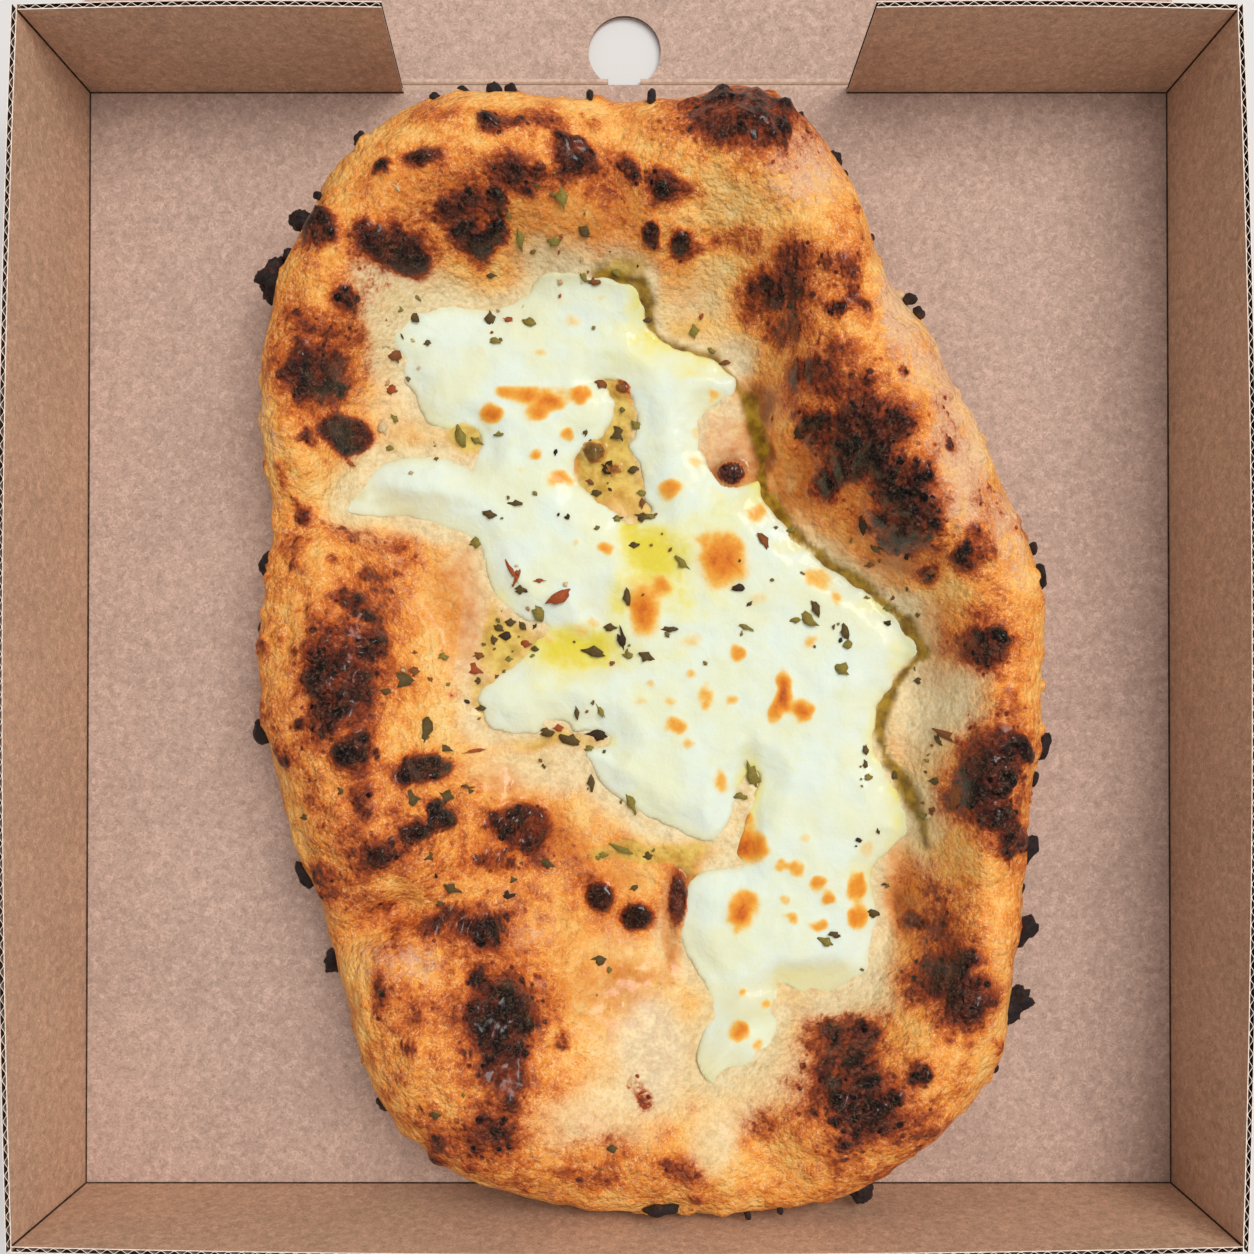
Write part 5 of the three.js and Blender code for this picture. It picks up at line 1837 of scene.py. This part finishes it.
    def _joined(
        self, name: str, flakes: Sequence[Flake], material: bpy.types.Material
    ) -> bpy.types.Object:
        """Make one mesh of many leaves.

        Args:
            name: the piece's name.
            flakes: what _places and _scattered say.
            material: the finish.

        Returns:
            The piece.
        """
        draw = np.random.default_rng(self.seed + len(name))
        bm = bmesh.new()
        layer = bm.verts.layers.float.new("tone")
        for x, y, length, width, turn, tone in flakes:
            sides = 12 if length > 1.4 else 6
            start = len(bm.verts)
            bmesh.ops.create_circle(bm, cap_ends=True, cap_tris=True, segments=sides, radius=0.5)
            bm.verts.ensure_lookup_table()
            made = bm.verts[start:]
            faces = list({f for v in made for f in v.link_faces})
            bmesh.ops.extrude_face_region(bm, geom=faces)
            bm.verts.ensure_lookup_table()
            made = bm.verts[start:]
            half = len(made) // 2
            thick = 0.14 + 0.12 * min(1.0, length / 4)
            curl = (0.05 + 0.12 * draw.random()) * width
            tilt = draw.normal(0, 0.12)
            shape = np.array([v.co for v in made])
            ragged = 1 + 0.22 * draw.normal(size=half)
            ragged = np.concatenate([ragged, ragged])
            u = shape[:, 0] * length * ragged
            v = shape[:, 1] * width * ragged * (1 - 0.5 * np.abs(shape[:, 0]) * 2)
            wx = x + u * math.cos(turn) - v * math.sin(turn)
            wy = y + u * math.sin(turn) + v * math.cos(turn)
            ground, _ = self.ground(wx, wy)
            middle = float(np.mean(ground))
            bend = curl * (2 * v / max(width, 0.1)) ** 2 + 0.06 * length * np.sin(3 * shape[:, 0] * 2)
            z = 0.5 * ground + 0.5 * middle + bend + tilt * u + 0.12
            lift = np.where(np.arange(len(made)) >= half, thick, 0.0)
            for vertex, px, py, pz in zip(made, wx, wy, z + lift):
                vertex.co = (px, py, pz)
                vertex[layer] = tone
        bmesh.ops.recalc_face_normals(bm, faces=bm.faces)
        return finish_piece(name, bm, [material], "tray")


# ---------------------------------------------------------------- the box


Placer = Callable[[Array, Array, Array], Array]  # shares along and across and depth in the board, to points


@dataclass(frozen=True)
class Board:
    """Single-flute corrugated board: two liners and a wavy sheet between them."""

    thickness: float = 1.5
    liner: float = 0.22
    pitch: float = 3.3
    paper: float = 0.16
    edge_depth: float = 7.0


@dataclass
class Box:
    """The tray, its back wall and its lid, of corrugated board."""

    board: Board = field(default_factory=Board)
    half_width: float = 150.0
    half_length: float = 151.4
    wall_height: float = 42.0
    side_bow: float = 2.8
    front_bow: float = 1.9
    flap_bow: float = 0.9
    flap_ends: tuple[tuple[int, float, float], ...] = ((-1, 62.8, 60.4), (1, 60.9, 61.3))
    hole: Triple = (-1.1, 162.8, 10.1)
    back_crease: float = 154.0
    # Width of the dark strips of painted seam shade along the scores.
    score: float = 0.45
    foot: float = 0.02
    flap_foot: float = 0.15
    flap_gap: float = 0.2
    floor_overlap: float = 0.1
    flute_depth: float = 5.0
    side_taper: float = 16.0
    front_taper: float = 9.0
    hole_span: tuple[float, float] = (4.6, 4.4)
    lid_fold_half: float = 147.8
    front_fold_half: float = 140.0
    crease_reach: float = 1.5
    crease_shift: float = 0.35
    crease_paper: float = 0.25
    groove: float = 0.22
    kraft: bpy.types.Material = field(init=False)
    sheen_painted_kraft: bpy.types.Material = field(init=False)
    cut: bpy.types.Material = field(init=False)
    medium: bpy.types.Material = field(init=False)
    shaded: bpy.types.Material = field(init=False)
    crease: bpy.types.Material = field(init=False)

    def __post_init__(self) -> None:
        """Make the box's finishes."""
        self.kraft = KraftFinish().make()
        # A greyer copy of the wall kraft for the level faces of floor, back wall and lid, with the sky's
        # sheen painted into its colour: lit and shaded faces of one board get two tones.
        self.sheen_painted_kraft = KraftFinish(tone=(184, 156, 141), name="kraft_flats_painted_sheen").make()
        self.cut = CUT_EDGE.make()
        self.medium = MEDIUM.make()
        self.shaded = SHADED.make()
        self.crease = CreaseFinish().make()

    def _layer(
        self,
        bm: bmesh.types.BMesh,
        steps: tuple[int, int],
        place: Placer,
        near: float,
        far: float,
        wave: float = 0.0,
        waves: float = 0.0,
        shaded: int = 0,
    ) -> None:
        """Add one sheet of paper of a board to a mesh.

        Args:
            bm: the mesh.
            steps: grid steps along and across.
            place: gives a point from shares along and across, and depth in the board.
            near, far: the sheet's two depths in the board.
            wave: half the height of its waves.
            waves: how many waves run along it.
            shaded: which face is deep inside the board and gets the painted shade: 1 the far one, -1 the near
                one, 0 none.
        """
        start = len(bm.verts)
        bmesh.ops.create_grid(bm, x_segments=steps[0], y_segments=steps[1], size=0.5)
        bm.verts.ensure_lookup_table()
        made = bm.verts[start:]
        flat = list({f for v in made for f in v.link_faces})
        known = set(bm.faces)
        bmesh.ops.extrude_face_region(bm, geom=flat, use_keep_orig=True)
        bm.verts.ensure_lookup_table()
        every = bm.verts[start:]
        half = len(made)
        share = np.array([v.co for v in every])[:, :2] + 0.5
        depth = np.where(np.arange(len(every)) >= half, far, near)
        depth = depth + wave * np.sin(2 * math.pi * waves * share[:, 0])
        for vertex, point in zip(every, place(share[:, 0], share[:, 1], depth)):
            vertex.co = point
        inner = set(every[half:])
        raised = {f for f in bm.faces if f not in known}
        opposite = {f for f in raised if all(v in inner for v in f.verts)}
        for face in raised - opposite:
            face.material_index = 1
        # Faces deep inside the board get the dark paper of painted shade.
        for face in {1: opposite, -1: flat}.get(shaded, ()):
            face.material_index = 2

    def _board(
        self,
        liners: bmesh.types.BMesh,
        flutes: bmesh.types.BMesh,
        place: Placer,
        steps: tuple[int, int],
        length: float,
        edge_share: float,
    ) -> None:
        """Add a wall of board whose upper edge shows its flutes.

        Args:
            liners, flutes: the meshes of its liners and of its wavy sheet.
            place: gives a point from shares along and up, and depth in the board.
            steps: grid steps along and up.
            length: the wall's length.
            edge_share: share of the wall's height, from the top, that the wavy sheet fills.
        """
        b = self.board
        self._layer(liners, steps, place, 0.0, b.liner, shaded=1)
        self._layer(liners, steps, place, b.thickness - b.liner, b.thickness, shaded=-1)
        waves = length / b.pitch
        room = (b.thickness - 2 * b.liner - b.paper) / 2

        def near_top(s: Array, t: Array, w: Array) -> Array:
            """Only the top of the wall, a little below its edge."""
            return place(0.004 + 0.992 * s, 1 - edge_share + edge_share * t * 0.985, w)

        near, far = (b.thickness / 2 + side * b.paper / 2 for side in (-1, 1))
        self._layer(flutes, (round(waves * 8), 2), near_top, near, far, room, waves)

    def _bow(self, along: Array, up: Array) -> Array:
        """Share of a wall's bow at a point."""
        return (1 - np.minimum(1, along**2)) * up

    def make_tray(self) -> None:
        """Build the tray: floor, side walls, front wall and back corner flaps."""
        liners, flutes = bmesh.new(), bmesh.new()
        t = self.board.thickness
        top = t + self.wall_height
        edge = self.board.edge_depth / self.wall_height
        for side in (-1, 1):
            def side_wall(s: Array, u: Array, w: Array, side: int = side) -> Array:
                """Place points of a side wall.

                Args:
                    s, u: shares along the wall and up it.
                    w: depth in the board.

                Returns:
                    The points.
                """
                y = -self.half_length - t + (2 * self.half_length + 2 * t) * s
                x = self.half_width + w + self.side_bow * self._bow(y / self.half_length, u)
                return np.column_stack([side * x, y, self.foot + (top - self.foot) * u])

            self._board(liners, flutes, side_wall, (60, 8), 2 * self.half_length, edge)

        def front_wall(s: Array, u: Array, w: Array) -> Array:
            """Place points of the front wall.

            Args:
                s, u: shares along the wall and up it.
                w: depth in the board.

            Returns:
                The points.
            """
            x = -self.half_width + 2 * self.half_width * s
            y = -self.half_length - w - self.front_bow * self._bow(x / self.half_width, u)
            return np.column_stack([x + 0 * u, y, self.foot + (top - self.foot) * u])

        self._board(liners, flutes, front_wall, (60, 8), 2 * self.half_width, edge)
        for side, below, above in self.flap_ends:
            def corner_flap(
                s: Array, u: Array, w: Array, side: int = side, below: float = below, above: float = above
            ) -> Array:
                """Place points of a corner flap.

                Args:
                    s, u: shares along the wall and up it.
                    w: depth in the board.

                Returns:
                    The points.
                """
                end = below + (above - below) * u
                x = end + (self.half_width - self.flap_gap - end) * s
                y = self.half_length + w + self.flap_bow * u * np.sin(0.8 * math.pi * (1 - s))
                z = t + self.flap_foot + (self.wall_height - self.flap_foot) * u
                return np.column_stack([side * x, y, z])

            self._board(liners, flutes, corner_flap, (30, 8), self.half_width - below, edge)

        back = self.back_crease - 0.5

        def floor(s: Array, u: Array, w: Array) -> Array:
            """Place points of the floor.

            Args:
                s, u: shares along the floor and to its back.
                w: depth in the board.

            Returns:
                The points.
            """
            over = self.floor_overlap
            x = (self.half_width + over) * (2 * s - 1)
            y = -self.half_length - over + (back + self.half_length + over) * u
            return np.column_stack([x, y, 0 * s + w])

        walls = self._dressed("tray_walls", liners, "tray", [self.kraft, self.cut, self.shaded])
        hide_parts("tray")
        flats = bmesh.new()
        self._layer(flats, (40, 40), floor, 0.0, self.board.liner)
        self._layer(flats, (40, 40), floor, t - self.board.liner, t)
        self._dressed("tray_floor", flats, "tray", [self.sheen_painted_kraft, self.cut])
        self._dressed("tray_flutes", flutes, "tray", [self.medium, self.cut])
        self._make_score_shade_strips()

    def _make_score_shade_strips(self) -> None:
        """Build dark strips of painted seam shade along the score lines at the feet of the walls and up the
        tray's corners.
        """
        bm = bmesh.new()
        low, high = self.board.thickness, self.board.thickness + self.wall_height - 0.4
        x, y = self.half_width - 0.1, self.half_length - 0.1
        ends = [((side * x, -y, low), (side * x, y, low)) for side in (-1, 1)]
        ends.append(((-x, -y, low), (x, -y, low)))
        ends += [((side * f, y, low), (side * x, y, low)) for side, f, _ in self.flap_ends]
        ends += [((i * x, j * y, low), (i * x, j * y, high)) for i in (-1, 1) for j in (-1, 1)]
        for start, end in ends:
            middle = (Vector(start) + Vector(end)) / 2
            size = [abs(b - a) + self.score for a, b in zip(start, end)]
            place = Matrix.Translation(middle) @ Matrix.Diagonal((*size, 1.0))
            bmesh.ops.create_cube(bm, size=1.0, matrix=place)
        self._dressed("tray_score_shade_strips", bm, "tray", [self.shaded])

    def _dressed(
        self, name: str, bm: bmesh.types.BMesh, body: str, materials: Sequence[bpy.types.Material]
    ) -> bpy.types.Object:
        """Finish a piece of the box."""
        bmesh.ops.recalc_face_normals(bm, faces=bm.faces)
        return finish_piece(name, bm, materials, body, rounded=False)

    def _flat_panel(self, name: str, outline: Sequence[tuple[float, float]], fluted: Sequence[int]) -> None:
        """Build a panel that lies flat behind the tray.

        Args:
            name: the CAD node that it stands for, and its body.
            outline: its corners from above, in millimetres, counter-clockwise.
            fluted: which of its edges show the wavy sheet.
        """
        b = self.board
        liners, flutes = bmesh.new(), bmesh.new()
        for low, high in ((0.0, b.liner), (b.thickness - b.liner, b.thickness)):
            corners = [liners.verts.new((x, y, low)) for x, y in outline]
            face = liners.faces.new(corners)
            raised = bmesh.ops.extrude_face_region(liners, geom=[face], use_keep_orig=True)["geom"]
            moved = [v for v in raised if isinstance(v, bmesh.types.BMVert)]
            bmesh.ops.translate(liners, vec=(0, 0, high - low), verts=moved)
        for face in liners.faces:
            face.normal_update()
            face.material_index = 0 if abs(face.normal.z) > 0.5 else 1
        room = (b.thickness - 2 * b.liner - b.paper) / 2
        for index in fluted:
            start = np.array(outline[index], float)
            end = np.array(outline[(index + 1) % len(outline)], float)
            along = end - start
            length = float(np.linalg.norm(along))
            inward = np.array([-along[1], along[0]]) / length
            waves = length / b.pitch

            def strip(
                s: Array,
                u: Array,
                w: Array,
                start: Array = start,
                along: Array = along,
                inward: Array = inward,
            ) -> Array:
                """Place points of the wavy sheet beside an edge."""
                deep = 0.1 + self.flute_depth * u[:, None]
                return np.column_stack([start + along * (0.01 + 0.98 * s[:, None]) + inward * deep, w])

            near, far = (b.thickness / 2 + side * b.paper / 2 for side in (-1, 1))
            self._layer(flutes, (max(8, round(waves * 8)), 2), strip, near, far, room, waves)
        panel = self._dressed(name + "_liners", liners, name, [self.sheen_painted_kraft, self.cut])
        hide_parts(name)
        if fluted:
            self._dressed(name + "_flutes", flutes, name, [self.medium, self.cut])

    def _outline_of(self, node: str) -> tuple[float, float, float, float]:
        """A node's lowest and highest x and y, in millimetres."""
        low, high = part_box(node)
        return low.x / MM, low.y / MM, high.x / MM, high.y / MM

    def make_back_wall(self) -> None:
        """Build the back wall, with its round hole open to the crease."""
        x0, y0, x1, y1 = self._outline_of("back_wall")
        hx, hy, radius = self.hole
        low = math.asin((y0 - hy) / radius)
        arc = [
            (hx + radius * math.cos(a), hy + radius * math.sin(a))
            for a in np.linspace(math.pi - low, low, 49)
        ]
        outline = [(x0, y0), *arc, (x1, y0), (x1, y1), (x0, y1)]
        count = len(outline)
        self._flat_panel("back_wall", outline, [count - 3, count - 1])

    def make_lid(self) -> None:
        """Build the lid and its three flaps."""
        x0, y0, x1, y1 = self._outline_of("lid")
        self._flat_panel("lid", [(x0, y0), (x1, y0), (x1, y1), (x0, y1)], [])
        taper, free_edges = self.side_taper, (0, 1, 2)
        x0, y0, x1, y1 = self._outline_of("lid_right_flap")
        outline = [(x0, y0), (x1, y0 + taper), (x1, y1 - taper), (x0, y1)]
        self._flat_panel("lid_right_flap", outline, free_edges)
        x0, y0, x1, y1 = self._outline_of("lid_left_flap")
        outline = [(x1, y1), (x0, y1 - taper), (x0, y0 + taper), (x1, y0)]
        self._flat_panel("lid_left_flap", outline, free_edges)
        taper = self.front_taper
        x0, y0, x1, y1 = self._outline_of("lid_front_flap")
        outline = [(x1, y0), (x1 - taper, y1), (x0 + taper, y1), (x0, y0)]
        self._flat_panel("lid_front_flap", outline, free_edges)

    def make_creases(self) -> None:
        """Build the strips of liner that cross each fold."""
        hinges = {j["name"]: j for j in frame["joints"]}
        t = self.board.thickness
        hx = self.hole[0]
        half = self.half_width + t
        spans = {
            "back_wall_fold": [(-half, hx - self.hole_span[0]), (hx + self.hole_span[1], half)],
            "lid_fold": [(-self.lid_fold_half, self.lid_fold_half)],
            "lid_front_flap_fold": [(-self.front_fold_half, self.front_fold_half)],
            "lid_left_flap_fold": [self._outline_of("lid_left_flap")[1::2]],
            "lid_right_flap_fold": [self._outline_of("lid_right_flap")[1::2]],
        }
        for name, parts in spans.items():
            joint = hinges[name]
            at = Vector(joint["pos_m"]) / MM
            self._crease(name, joint["parent"], joint["child"], at, Vector(joint["axis"]), parts)

    def _crease(
        self,
        name: str,
        parent: str,
        child: str,
        at: Vector,
        axis: Vector,
        spans: Sequence[tuple[float, float]],
    ) -> None:
        """Build the liner over and under one fold.

        Args:
            name: the joint's name.
            parent, child: the bodies that it joins.
            at: a point of the fold line.
            axis: the fold line's direction.
            spans: the stretches along X or Y that the liner covers.
        """
        t = self.board.thickness
        along_x = abs(axis.x) > 0.5
        toward = Vector((0, 1, 0)) if along_x else Vector((math.copysign(1, at.x), 0, 0))
        reach = self.crease_reach
        line = at - toward * (self.crease_shift if name == "back_wall_fold" else 0.0)
        bm = bmesh.new()
        groove_press_shades = []
        for low, high in spans:
            for height, side in ((t, 1), (0.0, -1)):
                start = len(bm.verts)
                bmesh.ops.create_grid(bm, x_segments=60, y_segments=12, size=0.5)
                bm.verts.ensure_lookup_table()
                made = bm.verts[start:]
                sheet = list({f for v in made for f in v.link_faces})
                bmesh.ops.extrude_face_region(bm, geom=sheet, use_keep_orig=True)
                bm.verts.ensure_lookup_table()
                every = bm.verts[start:]
                for i, vertex in enumerate(every):
                    s, c = vertex.co.x + 0.5, vertex.co.y * 2
                    run = low + (high - low) * s
                    groove = math.exp(-((c / self.groove) ** 2))
                    lips = 0.1 * math.exp(-(((abs(c) - 0.5) / 0.25) ** 2))
                    skin = 0.05 * (1 - c * c) + lips - 0.16 * groove
                    under = self.crease_paper if i >= len(made) else 0.0
                    rise = height + side * ((skin if side > 0 else 0.0) - under)
                    flat = Vector((run, line.y, 0)) if along_x else Vector((line.x, run, 0))
                    spot = flat + toward * (c * reach)
                    vertex.co = (spot.x, spot.y, max(0.0, rise))
                    groove_press_shades.append(groove)
        bmesh.ops.recalc_face_normals(bm, faces=bm.faces)
        bmesh.ops.scale(bm, vec=(MM, MM, MM), verts=bm.verts)
        mesh = bpy.data.meshes.new(name + "_liner")
        bm.to_mesh(mesh)
        bm.free()
        paint(mesh, "press", np.array(groove_press_shades))
        mesh.materials.append(self.crease)
        piece = bpy.data.objects.new(name + "_liner", mesh)
        bpy.context.scene.collection.objects.link(piece)
        start = (line - toward * reach) * MM
        end = (line + toward * reach) * MM
        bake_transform(piece)
        LOG.info("%s: %d faces from %s to %s", piece.name, len(mesh.polygons), parent, child)


# ---------------------------------------------------------------- the studio


@dataclass(frozen=True)
class Studio:
    """A pale floor, soft light from above and a smaller lamp at the picture's upper right."""

    floor_size: float = 24.0
    soft_place: Triple = (1.05, 0.8, 3.4)
    soft_size: float = 2.2
    soft_power: float = 102.0
    key_place: Triple = (1.7, 1.4, 2.3)
    key_size: float = 0.8
    key_power: float = 18.0
    fill: float = 0.55
    fill_colour: Rgba = (0.96, 0.98, 1.0, 1.0)
    lamp_colour: Triple = (1.0, 0.98, 0.96)
    floor_drop: float = 0.0004

    def make(self) -> None:
        """Build the floor, the lights and the view settings."""
        bm = bmesh.new()
        bmesh.ops.create_grid(bm, x_segments=1, y_segments=1, size=self.floor_size / 2)
        mesh = bpy.data.meshes.new("studio_floor")
        bm.to_mesh(mesh)
        bm.free()
        mesh.materials.append(FloorFinish().make())
        floor = bpy.data.objects.new("studio_floor", mesh)
        floor.location.z = -self.floor_drop
        bpy.context.scene.collection.objects.link(floor)
        soft = self._lamp("soft", self.soft_place, self.soft_size, self.soft_power)
        soft.visible_glossy = False
        self._lamp("key", self.key_place, self.key_size, self.key_power)
        world = bpy.data.worlds.new("studio_world")
        bpy.context.scene.world = world
        world.use_nodes = True
        world.cycles_visibility.glossy = False
        background = world.node_tree.nodes["Background"]
        background.inputs["Color"].default_value = self.fill_colour
        background.inputs["Strength"].default_value = self.fill
        bpy.context.scene.view_settings.view_transform = "Standard"
        bpy.context.scene.view_settings.look = "None"

    def _lamp(self, name: str, place: Triple, size: float, power: float) -> bpy.types.Object:
        """Add a square soft light that faces the tray.

        Args:
            name: the light's name.
            place: where it is, in metres.
            size: its side, in metres.
            power: its power, in watts.

        Returns:
            The light's object.
        """
        data = bpy.data.lights.new(name, "AREA")
        data.shape = "SQUARE"
        data.size = size
        data.energy = power
        data.color = self.lamp_colour
        lamp = bpy.data.objects.new(name, data)
        lamp.location = place
        lamp.rotation_euler = (-Vector(place)).to_track_quat("-Z", "Y").to_euler()
        bpy.context.scene.collection.objects.link(lamp)
        return lamp


def main() -> None:
    """Build every piece in order."""
    logging.basicConfig(level=logging.INFO, format="%(name)s: %(message)s")
    VIEW.make_camera()
    Studio().make()
    box = Box()
    box.make_tray()
    box.make_back_wall()
    box.make_lid()
    box.make_creases()
    bread = Bread()
    shore = cheese_shore(bread)
    bread.make(shore)
    CharredBlisters(bread).make()
    cheese = Cheese(bread, shore)
    cheese.make()
    Herbs(bread, cheese).make()
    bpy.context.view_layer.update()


if __name__ == "__main__":
    main()
